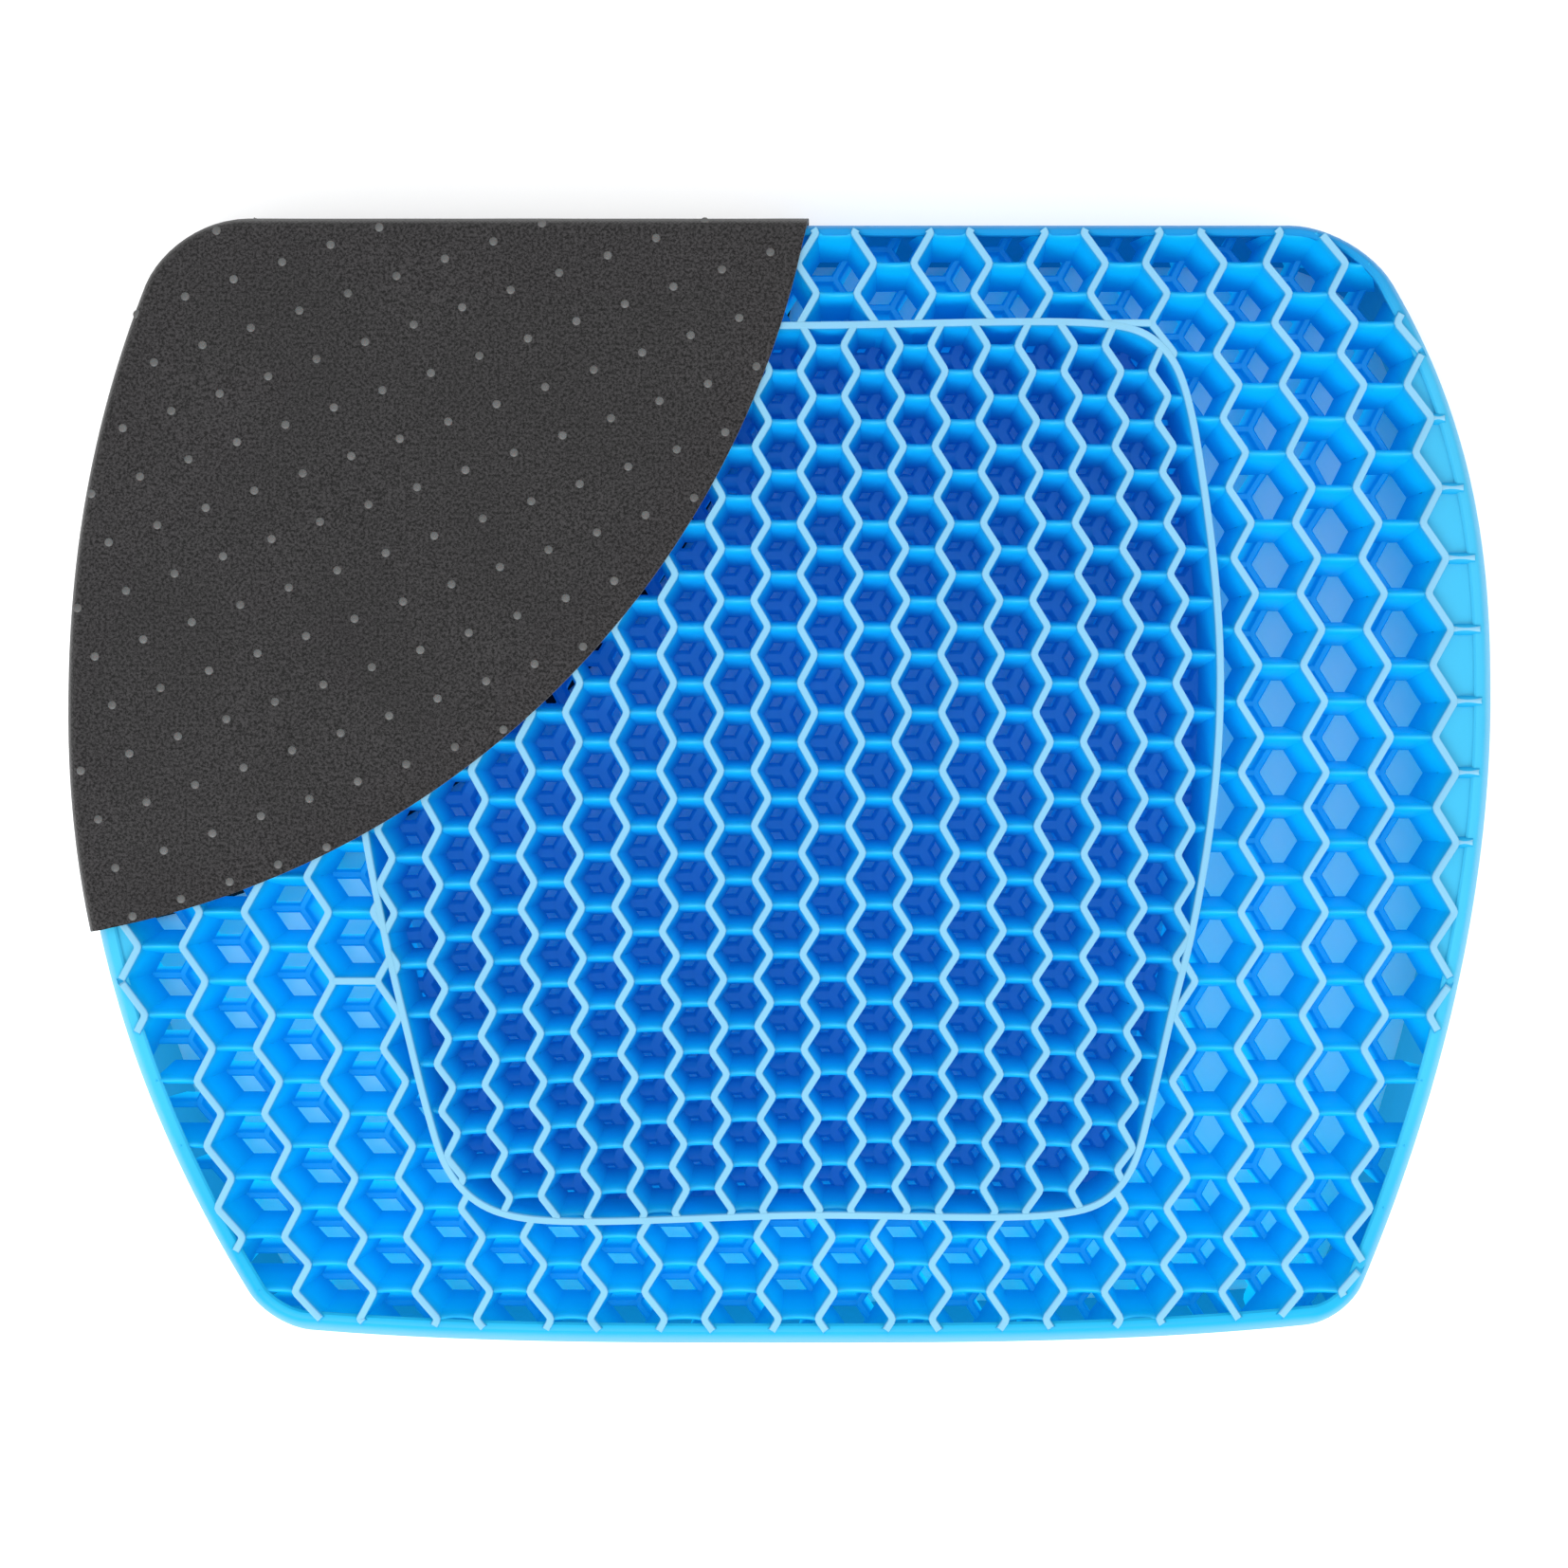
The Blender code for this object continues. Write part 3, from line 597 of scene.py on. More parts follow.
def skirt(builder, upper):
    """The outer wall of one layer: skin outside, drafted face inside."""
    if upper:
        k = draft(NORMALS)
        outer = [(0.0, 20.15), (0.5, 23.5), (1.0, 27.0), (1.5, 30.0), (2.0, 33.0), (2.55, 35.4), (3.1, 37.2), (3.55, 38.2), (4.1, 38.75)]
        inner = [(4.75, 38.7, 0.5), (4.9, 38.1, 0.9), (4.5, 36.0, 1.3), (3.2, 30.0, 1.6), (1.6, 22.0, 2.2), (1.3, 20.15, 2.4)]
    else:
        k = np.ones(len(OUTLINE))
        outer = [(i, z) for i, z in LOWER_PROFILE]
        inner = [(2.6, 19.85, 0.0), (3.2, 16.0, 0.0), (4.0, 11.0, 0.0), (5.4, 6.0, 0.0), (7.4, 3.2, 0.0), (9.2, 1.1, 0.0), (9.6, 0.35, 0.0), (9.1, 0.0, 0.0)]
    rings = []
    for inset, z in outer:
        xy = OUTLINE - NORMALS * (inset * k)[:, None]
        rings.append(np.column_stack([xy, np.full(len(xy), z)]))
    for inset, z, extra in inner:
        xy = OUTLINE - NORMALS * (inset * k + extra)[:, None]
        rings.append(np.column_stack([xy, np.full(len(xy), z)]))
    rings = np.array(rings).transpose(1, 0, 2)
    if not upper:
        lift = lift_under_cover(rings[:, :, :2].reshape(-1, 2)).reshape(rings.shape[:2])
        rings[:, :, 2] = np.maximum(rings[:, :, 2], lift)
    builder.tube(rings, True, 1.5)


# ------------------------------------------------------------------ node helpers
def new_material(name):
    mat = bpy.data.materials.new(name)
    mat.use_nodes = True
    nt = mat.node_tree
    return mat, nt, nt.nodes["Principled BSDF"]


def node(nt, kind, **values):
    n = nt.nodes.new(kind)
    for key, value in values.items():
        if key in n.inputs.keys():
            n.inputs[key].default_value = value
        else:
            setattr(n, key, value)
    return n


def link(nt, a, b):
    nt.links.new(a, b)


def maths(nt, operation, a, b=None, clamp=False):
    n = nt.nodes.new("ShaderNodeMath")
    n.operation = operation
    n.use_clamp = clamp
    for slot, value in ((0, a), (1, b)):
        if value is None:
            continue
        if isinstance(value, (int, float)):
            n.inputs[slot].default_value = value
        else:
            link(nt, value, n.inputs[slot])
    return n.outputs[0]


def ramp(nt, factor, stops, interpolation="LINEAR"):
    n = nt.nodes.new("ShaderNodeValToRGB")
    n.color_ramp.interpolation = interpolation
    while len(n.color_ramp.elements) < len(stops):
        n.color_ramp.elements.new(0.5)
    for element, (at, colour) in zip(n.color_ramp.elements, stops):
        element.position = at
        element.color = (*colour, 1.0)
    link(nt, factor, n.inputs[0])
    return n.outputs[0]


def mix(nt, factor, a, b, blend="MIX"):
    n = nt.nodes.new("ShaderNodeMix")
    n.data_type = "RGBA"
    n.blend_type = blend
    for slot, value in ((0, factor), (6, a), (7, b)):
        if isinstance(value, (int, float)):
            n.inputs[slot].default_value = value
        elif isinstance(value, tuple):
            n.inputs[slot].default_value = (*value, 1.0)
        else:
            link(nt, value, n.inputs[slot])
    return n.outputs[2]


def srgb(r, g, b):
    def one(c):
        c /= 255.0
        return c / 12.92 if c <= 0.04045 else ((c + 0.055) / 1.055) ** 2.4

    return (one(r), one(g), one(b))


def object_position(nt):
    return node(nt, "ShaderNodeTexCoord").outputs["Object"]


def xyz(nt, vector):
    n = nt.nodes.new("ShaderNodeSeparateXYZ")
    link(nt, vector, n.inputs[0])
    return n.outputs


# ------------------------------------------------------------------ gel
def gel_material(name, upper):
    """Translucent blue gel. The colour follows how deep a point lies, as painted light and shade standing in for light
    that reaches the depths of the cells only through the walls, and the zone: inner cells, outer cells or rim, with the
    outer cells painted lighter."""
    mat, nt, shader = new_material(name)
    mat.cycles.emission_sampling = "NONE"
    where = object_position(nt)
    parts = xyz(nt, where)
    z = maths(nt, "DIVIDE", parts[2], 0.04)  # 0 at the seat, 1 at the top
    front = maths(nt, "ADD", maths(nt, "MULTIPLY", parts[1], -2.9), 0.5, clamp=True)  # 0 rear, 1 front
    zone = node(nt, "ShaderNodeAttribute", attribute_name="zone").outputs["Fac"]
    outer_part = maths(nt, "MULTIPLY", zone, 1.0, clamp=True)
    rim_part = maths(nt, "MULTIPLY", maths(nt, "SUBTRACT", zone, 1.0, clamp=True), 2.0, clamp=True)
    # painted light and shade: the colour changes with height in the cells, and the outer cells are painted lighter than
    # the inner ones
    inner = ramp(nt, z, ((0.0, (0.03, 0.38, 0.8)), (0.5, (0.03, 0.34, 0.78)), (0.62, (0.008, 0.4, 0.8)), (0.84, (0.004, 0.46, 0.84)), (0.92, (0.006, 0.42, 0.78)), (0.975, (0.03, 0.36, 0.62))))
    outer = ramp(nt, z, ((0.0, (0.006, 0.6, 0.86)), (0.5, (0.004, 0.5, 0.86)), (0.62, (0.002, 0.52, 0.88)), (0.84, (0.002, 0.52, 0.88)), (0.92, (0.004, 0.44, 0.8)), (0.975, (0.02, 0.38, 0.64))))
    colour = mix(nt, outer_part, inner, outer)
    # painted light on the rim: darkest at the rear, lighter at the front, lightest at the sides
    not_rear = maths(nt, "MULTIPLY", maths(nt, "SUBTRACT", 0.163, parts[1]), 30.0, clamp=True)
    sides = maths(nt, "MULTIPLY", maths(nt, "SUBTRACT", maths(nt, "ABSOLUTE", parts[0]), 0.165), 30.0, clamp=True)
    rim = mix(nt, not_rear, (0.006, 0.24, 0.52), mix(nt, sides, (0.006, 0.33, 0.56), (0.045, 0.4, 0.62)))
    colour = mix(nt, rim_part, colour, rim)
    if upper:
        # painted highlight: the flat tops of the upper walls are painted paler
        crest = maths(nt, "GREATER_THAN", z, 0.9857)
        colour = mix(nt, crest, colour, (0.235, 0.5, 0.64))
    cloud = node(nt, "ShaderNodeTexNoise", Scale=28.0, Detail=2.0)
    link(nt, where, cloud.inputs["Vector"])
    colour = mix(nt, 0.1, colour, ramp(nt, cloud.outputs["Fac"], ((0.3, (0.55, 0.55, 0.55)), (0.7, (1.0, 1.0, 1.0)))), "MULTIPLY")
    link(nt, colour, shader.inputs["Base Color"])
    shader.inputs["Roughness"].default_value = 0.35
    shader.inputs["IOR"].default_value = 1.45
    shader.inputs["Specular IOR Level"].default_value = 0.22
    # painted glow: the gel's own emission stands in for light that has come through the gel from outside, most of it by
    # way of the rim and the seat
    if upper:
        inner_glow = ramp(nt, z, ((0.45, (0.0004, 0.035, 0.12)), (0.7, (0.0004, 0.06, 0.16)), (0.97, (0.0, 0.03, 0.08))))
        outer_glow = ramp(nt, z, ((0.45, (0.0004, 0.06, 0.15)), (0.7, (0.0002, 0.08, 0.18)), (0.97, (0.0, 0.03, 0.08))))
    else:
        inner_glow = ramp(nt, z, ((0.1, (0.002, 0.12, 0.34)), (0.4, (0.001, 0.07, 0.22)), (0.5, (0.0004, 0.035, 0.12))))
        outer_glow = ramp(nt, z, ((0.1, (0.004, 0.34, 0.52)), (0.4, (0.002, 0.24, 0.42)), (0.5, (0.0004, 0.07, 0.17))))
    glow = mix(nt, outer_part, inner_glow, outer_glow)
    # painted light on the rim's glow: dimmest at the front, brighter at the rear, brightest at the sides
    glow = mix(nt, rim_part, glow, mix(nt, not_rear, (0.001, 0.1, 0.2), mix(nt, sides, (0.004, 0.09, 0.16), (0.02, 0.17, 0.26))))
    # painted light: the whole glow is dimmed towards the rear and raised towards the front
    glow = mix(nt, 1.0, glow, ramp(nt, front, ((0.0, (0.5, 0.6, 0.66)), (1.0, (1.3, 1.5, 1.08)))), "MULTIPLY")
    link(nt, glow, shader.inputs["Emission Color"])
    shader.inputs["Emission Strength"].default_value = 1.0
    through_wall = node(nt, "ShaderNodeBsdfTranslucent")
    link(nt, colour, through_wall.inputs["Color"])
    blended = node(nt, "ShaderNodeMixShader")
    blended.inputs[0].default_value = 0.4
    link(nt, shader.outputs[0], blended.inputs[1])
    link(nt, through_wall.outputs[0], blended.inputs[2])
    link(nt, blended.outputs[0], nt.nodes["Material Output"].inputs["Surface"])
    fine = node(nt, "ShaderNodeTexNoise", Scale=900.0, Detail=2.0)
    link(nt, where, fine.inputs["Vector"])
    bump = node(nt, "ShaderNodeBump", Strength=0.08, Distance=0.0004)
    link(nt, fine.outputs["Fac"], bump.inputs["Height"])
    link(nt, bump.outputs["Normal"], shader.inputs["Normal"])
    return mat


def make_gel():
    made = []
    for name, node_name, upper in (
        ("gel_honeycomb_upper", "gel_upper_layer", True),
        ("gel_honeycomb_lower", "gel_lower_layer", False),
    ):
        b = Builder()
        lattice(b, upper)
        skirt(b, upper)
        obj = b.object(name, [gel_material("Gel_Upper" if upper else "Gel_Lower", upper)])
        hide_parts(node_name)
        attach(obj, "gel_pad")
        made.append(obj)
        print(name, len(obj.data.polygons), "faces")
    return made


# ------------------------------------------------------------------ cover
TOP_OUTER = ((1.87, 32.95), (2.3, 35.2), (2.8, 37.0), (3.3, 38.6), (3.8, 39.8), (4.35, 40.65), (4.95, 41.2), (5.6, 41.5), (6.4, 41.62), (7.4, 41.66))
BAND_UP_OUTER = ((2.0, 15.28), (1.55, 16.4), (0.9, 17.8), (0.4, 19.2), (0.15, 20.6), (0.35, 23.0), (0.75, 26.5), (1.2, 29.6), (1.6, 31.6), (1.87, 32.94))
BAND_LOW_OUTER = ((2.65, 4.0), (2.15, 5.2), (2.0, 6.4), (1.95, 9.0), (2.0, 12.5), (2.05, 15.26))
STRIP_OUTER = ((2.65, 4.0), (2.15, 5.0), (2.0, 6.35))
BOTTOM_OUTER = ((2.75, 3.85), (3.2, 2.7), (3.8, 1.7), (4.6, 0.85), (5.6, 0.28), (6.8, 0.04), (7.8, 0.0))
SEAM_X = -160.0
ZIP_Z = 10.65
ZIP_FACE_Y = REAR_Y + COVER_OUT - 2.3
DOT_PITCH, DOT_TURN, DOT_RADIUS, DOT_HEIGHT = 15.6, 19.6, 1.35, 0.38
DOT_AT = np.array((-180.3, 147.0))


def cover_path(step=2.5):
    """The cover's widest line, from the cut on the left side round to the cut on the rear
    edge, and for each point the way its section leans in."""
    line = pad_outline(step)
    normal = outward(line)
    line = line + normal * COVER_OUT
    inside = in_cut(line, 0.0)
    n = len(line)
    first = next(i for i in range(n) if inside[i] and not inside[i - 1])

    def crossing(a, b):
        for _ in range(40):
            m = (a + b) / 2
            if in_cut(m, 0)[0] == in_cut(a, 0)[0]:
                a = m
            else:
                b = m
        return (a + b) / 2

    def lean_at(p, normal_at):
        d = (p - CUT_CENTRE) / np.linalg.norm(p - CUT_CENTRE)
        t = np.array((-d[1], d[0]))
        return t / t.dot(normal_at)

    a = crossing(line[first - 1], line[first])
    pts, leans = [a], [lean_at(a, normal[first])]
    i = first
    while inside[i % n]:
        if np.linalg.norm(line[i % n] - pts[-1]) > 0.4:
            pts.append(line[i % n])
            leans.append(normal[i % n])
        i += 1
    b = crossing(line[(i - 1) % n], line[i % n])
    pts.append(b)
    leans.append(lean_at(b, normal[(i - 1) % n]))
    return np.array(pts)[::-1], np.array(leans)[::-1]


PATH, LEAN = cover_path()


def blended_lean(points, leans):
    """Turns the lean gradually over the last few points, so that a section does not fold."""
    out = leans.copy()
    for end, order in ((0, range(1, 5)), (len(points) - 1, range(len(points) - 2, len(points) - 6, -1))):
        for k, i in enumerate(order):
            w = 1 - (k + 1) / 5
            out[i] = leans[i] * (1 - w) + leans[end] * w
    return out


LEAN = blended_lean(PATH, LEAN)


def part_of_path(x_from=None, x_to=None):
    """A stretch of the path: the left side and corner up to x_to, or the rear edge from x_from."""
    rear = REAR_Y + COVER_OUT
    on_rear = PATH[:, 1] > rear - 0.05
    if x_to is not None:
        keep = ~(on_rear & (PATH[:, 0] >= x_to - 0.5))
        pts, leans = PATH[keep], LEAN[keep]
        return np.vstack([pts, [(x_to, rear)]]), np.vstack([leans, [(0.0, 1.0)]])
    keep = on_rear & (PATH[:, 0] > x_from + 0.5)
    return np.vstack([[(x_from, rear)], PATH[keep]]), np.vstack([[(0.0, 1.0)], LEAN[keep]])


def wobble(p, scale, amount, seed):
    return amount * noise.noise(Vector((p[0] / scale + seed, p[1] / scale - seed, p[2] / scale)))


def thicken(verts, faces, thickness):
    """A closed piece of cloth: the given outer face, the same face one cloth thickness further
    in along the surface's own normals, and the raw edges between the two."""
    v = np.asarray(verts, float)
    normals = np.zeros_like(v)
    used = {}
    for f in faces:
        for k in range(len(f)):
            a, b, c = v[f[k - 1]], v[f[k]], v[f[(k + 1) % len(f)]]
            cross = np.cross(b - a, c - b)
            size = np.linalg.norm(cross)
            if size > 1e-12:
                ang = math.acos(max(-1.0, min(1.0, np.dot(b - a, c - b) / (np.linalg.norm(b - a) * np.linalg.norm(c - b)))))
                normals[f[k]] += cross / size * (math.pi - ang)
            used[(f[k], f[(k + 1) % len(f)])] = True
    normals /= np.maximum(np.linalg.norm(normals, axis=1, keepdims=True), 1e-9)
    n = len(v)
    both = np.vstack([v, v - normals * thickness])
    out = [tuple(int(k) for k in f) for f in faces]
    out += [tuple(int(k) + n for k in f[::-1]) for f in faces]
    out += [(b, a, a + n, b + n) for a, b in used if (b, a) not in used]
    return both, out


def sheet_object(name, verts, faces, material, thickness=FABRIC):
    verts, faces = thicken(verts, faces, thickness)
    mesh = bpy.data.meshes.new(name)
    mesh.from_pydata(((verts + SHIFT) * MM).tolist(), [], faces)
    mesh.materials.append(material)
    obj = bpy.data.objects.new(name, mesh)
    bpy.context.scene.collection.objects.link(obj)
    mesh.shade_smooth()
    mesh.set_sharp_from_angle(angle=math.radians(50))
    return obj


def swept(profile, points, leans, puff=0.0, seed=1.0):
    """A strip of cloth following the path; puff lets it swell a little between its seams."""
    n = len(points)
    s = lengths(points)
    verts = []
    zs = [z for _, z in profile]
    for inset, z in profile:
        share = (z - zs[0]) / (zs[-1] - zs[0])
        for i in range(n):
            swell = puff * math.sin(math.pi * share) * (0.6 + 0.4 * math.sin(s[i] / 23.0 + seed) * math.sin(s[i] / 9.1 + 2 * seed))
            p = points[i] - leans[i] * (inset - swell)
            verts.append((p[0], p[1], z))
    faces = []
    for k in range(len(profile) - 1):
        for i in range(n - 1):
            faces.append((k * n + i, (k + 1) * n + i, (k + 1) * n + i + 1, k * n + i + 1))
    return verts, faces


def panel(profile, points, leans, down, relief):
    """A panel with a turned edge along the path and a free cut edge on the circle."""
    rings = [points - leans * inset for inset, _ in profile]
    n = len(points)
    verts = [(p[0], p[1], z) for ring, (_, z) in zip(rings, profile) for p in ring]
    faces = []
    for k in range(len(profile) - 1):
        for i in range(n - 1):
            f = (k * n + i, k * n + i + 1, (k + 1) * n + i + 1, (k + 1) * n + i)
            faces.append(f if down else f[::-1])
    last = rings[-1]
    base = (len(profile) - 1) * n
    # the cut edge, from the rear edge back to the left side, on the circle
    a, b = last[-1] - CUT_CENTRE, last[0] - CUT_CENTRE
    t0, t1 = math.atan2(a[1], a[0]), math.atan2(b[1], b[0])
    steps = int(abs(t1 - t0) * CUT_RADIUS / 2.0)
    t = np.linspace(t0, t1, steps + 1)[1:-1]
    arc = CUT_CENTRE + CUT_RADIUS * np.stack([np.cos(t), np.sin(t)], axis=1)
    loop = np.vstack([last, arc])
    spacing = 3.2
    lo, hi = loop.min(0), loop.max(0)
    grid = np.array([(x + (0.5 * spacing if r % 2 else 0), y) for r, y in enumerate(np.arange(lo[1], hi[1], spacing * 0.87)) for x in np.arange(lo[0], hi[0], spacing)])
    d, _ = signed(grid, loop)
    grid = grid[d < -spacing * 0.55]
    pts = np.vstack([loop, grid])
    m = len(loop)
    edges = [(i, (i + 1) % m) for i in range(m)]
    out = delaunay_2d_cdt([Vector(p) for p in pts], edges, [], 1, 1e-5)
    found, tris, origin = out[0], out[2], out[3]
    index = []
    flat_z = profile[-1][1]
    for k, v in enumerate(found):
        source = origin[k][0] if origin[k] else -1
        if 0 <= source < n:
            index.append(base + source)
            continue
        verts.append((v.x, v.y, flat_z + relief((v.x, v.y), signed_fade(v, last))))
        index.append(len(verts) - 1)
    for tri in tris:
        f = tuple(index[k] for k in tri)
        faces.append(f if not down else f[::-1])
    verts, faces = np.array(verts), faces
    return verts, faces


def signed_fade(v, line):
    """0 beside the turned edge, 1 well inside the panel."""
    d = np.linalg.norm(line - np.array((v.x, v.y)), axis=1).min()
    return min(1.0, d / 14.0)


def top_relief(p, fade):
    """The cloth lies in slight soft undulations of two sizes, fading out beside the turned edge."""
    x, y = p
    soft = noise.noise(Vector((x / 34.0, y / 34.0, 3.1))) * 0.16
    small = noise.noise(Vector((x / 9.0, y / 9.0, 8.7))) * 0.05
    return fade * (soft + small)


def bottom_relief(p, fade):
    return 0.0


def dot_grid():
    turn = math.radians(DOT_TURN)
    u = np.array((math.cos(turn), math.sin(turn))) * DOT_PITCH
    v = np.array((-u[1], u[0]))
    out = []
    for i in range(-24, 24):
        for j in range(-24, 24):
            p = DOT_AT + i * u + j * v
            if p[0] < -225 or p[1] > 178 or p[0] > 15 or p[1] < -55:
                continue
            out.append(p)
    out = np.array(out)
    line = pad_outline(3.0)
    d, _ = signed(out, line + outward(line) * (COVER_OUT - 3.2))
    return out[(d < 0) & in_cut(out, -0.3)]


def thread_run(builder, points, normals, pitch=3.0, length=2.2, radius=0.24, sink=0.06):
    """Lockstitches along a 3-D line: short raised threads with a dip between them."""
    s = lengths(points)
    count = int(s[-1] / pitch)
    for k in range(count):
        a, b = k * pitch + 0.4, k * pitch + 0.4 + length
        rings = []
        for t in np.linspace(0, 1, 5):
            at = a + (b - a) * t
            c = np.array([np.interp(at, s, points[:, q]) for q in range(3)])
            n = np.array([np.interp(at, s, normals[:, q]) for q in range(3)])
            n /= np.linalg.norm(n)
            c2 = np.array([np.interp(at + 0.1, s, points[:, q]) for q in range(3)])
            d = c2 - c
            d = d / max(np.linalg.norm(d), 1e-9) if np.linalg.norm(d) > 1e-9 else np.array((1.0, 0, 0))
            w = np.cross(d, n)
            w /= np.linalg.norm(w)
            hump = math.sin(math.pi * t)
            r = radius * (0.45 + 0.55 * hump**0.5)
            centre = c + n * (r * 0.75 * hump - sink * (1 - hump) * 2)
            rings.append([centre + r * (math.cos(q) * w + math.sin(q) * n) for q in np.linspace(0, math.tau, 7)[:-1]])
        builder.tube(rings, False)


def cloth_material(name, dark, light, fold=1.0, weave=0.9, grain=1.0):
    """A dense matt weave: two sets of yarns in relief, and yarns of slightly different grey."""
    mat, nt, shader = new_material(name)
    where = object_position(nt)
    specks = node(nt, "ShaderNodeTexNoise", Scale=1150.0, Detail=3.0, Roughness=0.75)
    link(nt, where, specks.inputs["Vector"])
    blotch = node(nt, "ShaderNodeTexNoise", Scale=30.0, Detail=3.0, Roughness=0.6)
    link(nt, where, blotch.inputs["Vector"])
    turned = node(nt, "ShaderNodeMapping", Rotation=(0.0, 0.0, math.radians(45)))
    link(nt, where, turned.inputs["Vector"])
    warp = node(nt, "ShaderNodeTexWave", Scale=0.31 / (weave * MM), Distortion=1.2, Detail=1.0, wave_type="BANDS", bands_direction="X")
    weft = node(nt, "ShaderNodeTexWave", Scale=0.31 / (weave * MM), Distortion=1.2, Detail=1.0, wave_type="BANDS", bands_direction="Y")
    rise = node(nt, "ShaderNodeTexWave", Scale=0.31 / (weave * MM), Distortion=0.8, Detail=1.0, wave_type="BANDS", bands_direction="Z")
    for w in (warp, weft, rise):
        link(nt, turned.outputs[0], w.inputs["Vector"])
    yarns = maths(nt, "MAXIMUM", maths(nt, "MULTIPLY", warp.outputs["Fac"], weft.outputs["Fac"]), maths(nt, "MULTIPLY", rise.outputs["Fac"], 0.6))
    tone = ramp(nt, specks.outputs["Fac"], ((0.4, dark), (0.6, light)))
    shade = ramp(nt, blotch.outputs["Fac"], ((0.3, (0.86, 0.86, 0.86)), (0.7, (1.0, 1.0, 1.0))))
    tone = mix(nt, 1.0, tone, shade, "MULTIPLY")
    gaps = ramp(nt, yarns, ((0.0, (0.72, 0.72, 0.72)), (0.45, (1.0, 1.0, 1.0))))
    tone = mix(nt, grain, tone, gaps, "MULTIPLY")
    link(nt, tone, shader.inputs["Base Color"])
    shader.inputs["Roughness"].default_value = 0.93
    shader.inputs["Specular IOR Level"].default_value = 0.25
    shader.inputs["Sheen Weight"].default_value = 0.12
    shader.inputs["Sheen Roughness"].default_value = 0.5
    height = maths(nt, "ADD", maths(nt, "MULTIPLY", yarns, 0.7), maths(nt, "MULTIPLY", specks.outputs["Fac"], 0.6))
    bump = node(nt, "ShaderNodeBump", Strength=0.55, Distance=0.00022)
    link(nt, height, bump.inputs["Height"])
    link(nt, bump.outputs["Normal"], shader.inputs["Normal"])
    return mat


def tape_material():
    """Woven zip tape: a herringbone of narrow ribs."""
    mat, nt, shader = new_material("Zip_Tape_Weave")
    where = object_position(nt)
    parts = xyz(nt, where)
    band = maths(nt, "PINGPONG", maths(nt, "MULTIPLY", parts[2], 1000.0 / 1.1), 1.0)
    slant = maths(nt, "ADD", maths(nt, "MULTIPLY", parts[0], 1000.0 / 0.62), maths(nt, "MULTIPLY", band, 1.1))
    rib = maths(nt, "PINGPONG", slant, 0.5)
    rib = maths(nt, "MULTIPLY", rib, 2.0)
    link(nt, ramp(nt, rib, ((0.0, (0.006, 0.006, 0.0065)), (0.6, (0.019, 0.019, 0.02)))), shader.inputs["Base Color"])
    shader.inputs["Roughness"].default_value = 0.8
    shader.inputs["Sheen Weight"].default_value = 0.1
    bump = node(nt, "ShaderNodeBump", Strength=0.6, Distance=0.0001)
    link(nt, rib, bump.inputs["Height"])
    link(nt, bump.outputs["Normal"], shader.inputs["Normal"])
    return mat


def dot_material():
    mat, nt, shader = new_material("Grip_Dots")
    where = object_position(nt)
    haze = node(nt, "ShaderNodeTexNoise", Scale=160.0, Detail=2.0)
    link(nt, where, haze.inputs["Vector"])
    link(nt, ramp(nt, haze.outputs["Fac"], ((0.3, (0.036, 0.037, 0.037)), (0.7, (0.06, 0.061, 0.062)))), shader.inputs["Base Color"])
    shader.inputs["Roughness"].default_value = 0.55
    shader.inputs["Subsurface Weight"].default_value = 0.2
    shader.inputs["Subsurface Scale"].default_value = 0.0006
    bump = node(nt, "ShaderNodeBump", Strength=0.2, Distance=0.0001)
    link(nt, haze.outputs["Fac"], bump.inputs["Height"])
    link(nt, bump.outputs["Normal"], shader.inputs["Normal"])
    return mat


def thread_material():
    mat, nt, shader = new_material("Sewing_Thread")
    where = object_position(nt)
    twist = node(nt, "ShaderNodeTexWave", Scale=900.0, Distortion=0.6, wave_type="BANDS", bands_direction="DIAGONAL")
    link(nt, where, twist.inputs["Vector"])
    link(nt, ramp(nt, twist.outputs["Fac"], ((0.1, (0.014, 0.014, 0.015)), (0.8, (0.034, 0.034, 0.036)))), shader.inputs["Base Color"])
    shader.inputs["Roughness"].default_value = 0.6
    bump = node(nt, "ShaderNodeBump", Strength=0.5, Distance=0.00005)
    link(nt, twist.outputs["Fac"], bump.inputs["Height"])
    link(nt, bump.outputs["Normal"], shader.inputs["Normal"])
    return mat


def nylon_material():
    mat, nt, shader = new_material("Zip_Coil")
    where = object_position(nt)
    wear = node(nt, "ShaderNodeTexNoise", Scale=420.0, Detail=3.0)
    link(nt, where, wear.inputs["Vector"])
    link(nt, ramp(nt, wear.outputs["Fac"], ((0.3, (0.008, 0.008, 0.009)), (0.75, (0.02, 0.02, 0.022)))), shader.inputs["Base Color"])
    link(nt, ramp(nt, wear.outputs["Fac"], ((0.3, (0.3, 0.3, 0.3)), (0.7, (0.5, 0.5, 0.5)))), shader.inputs["Roughness"])
    return mat


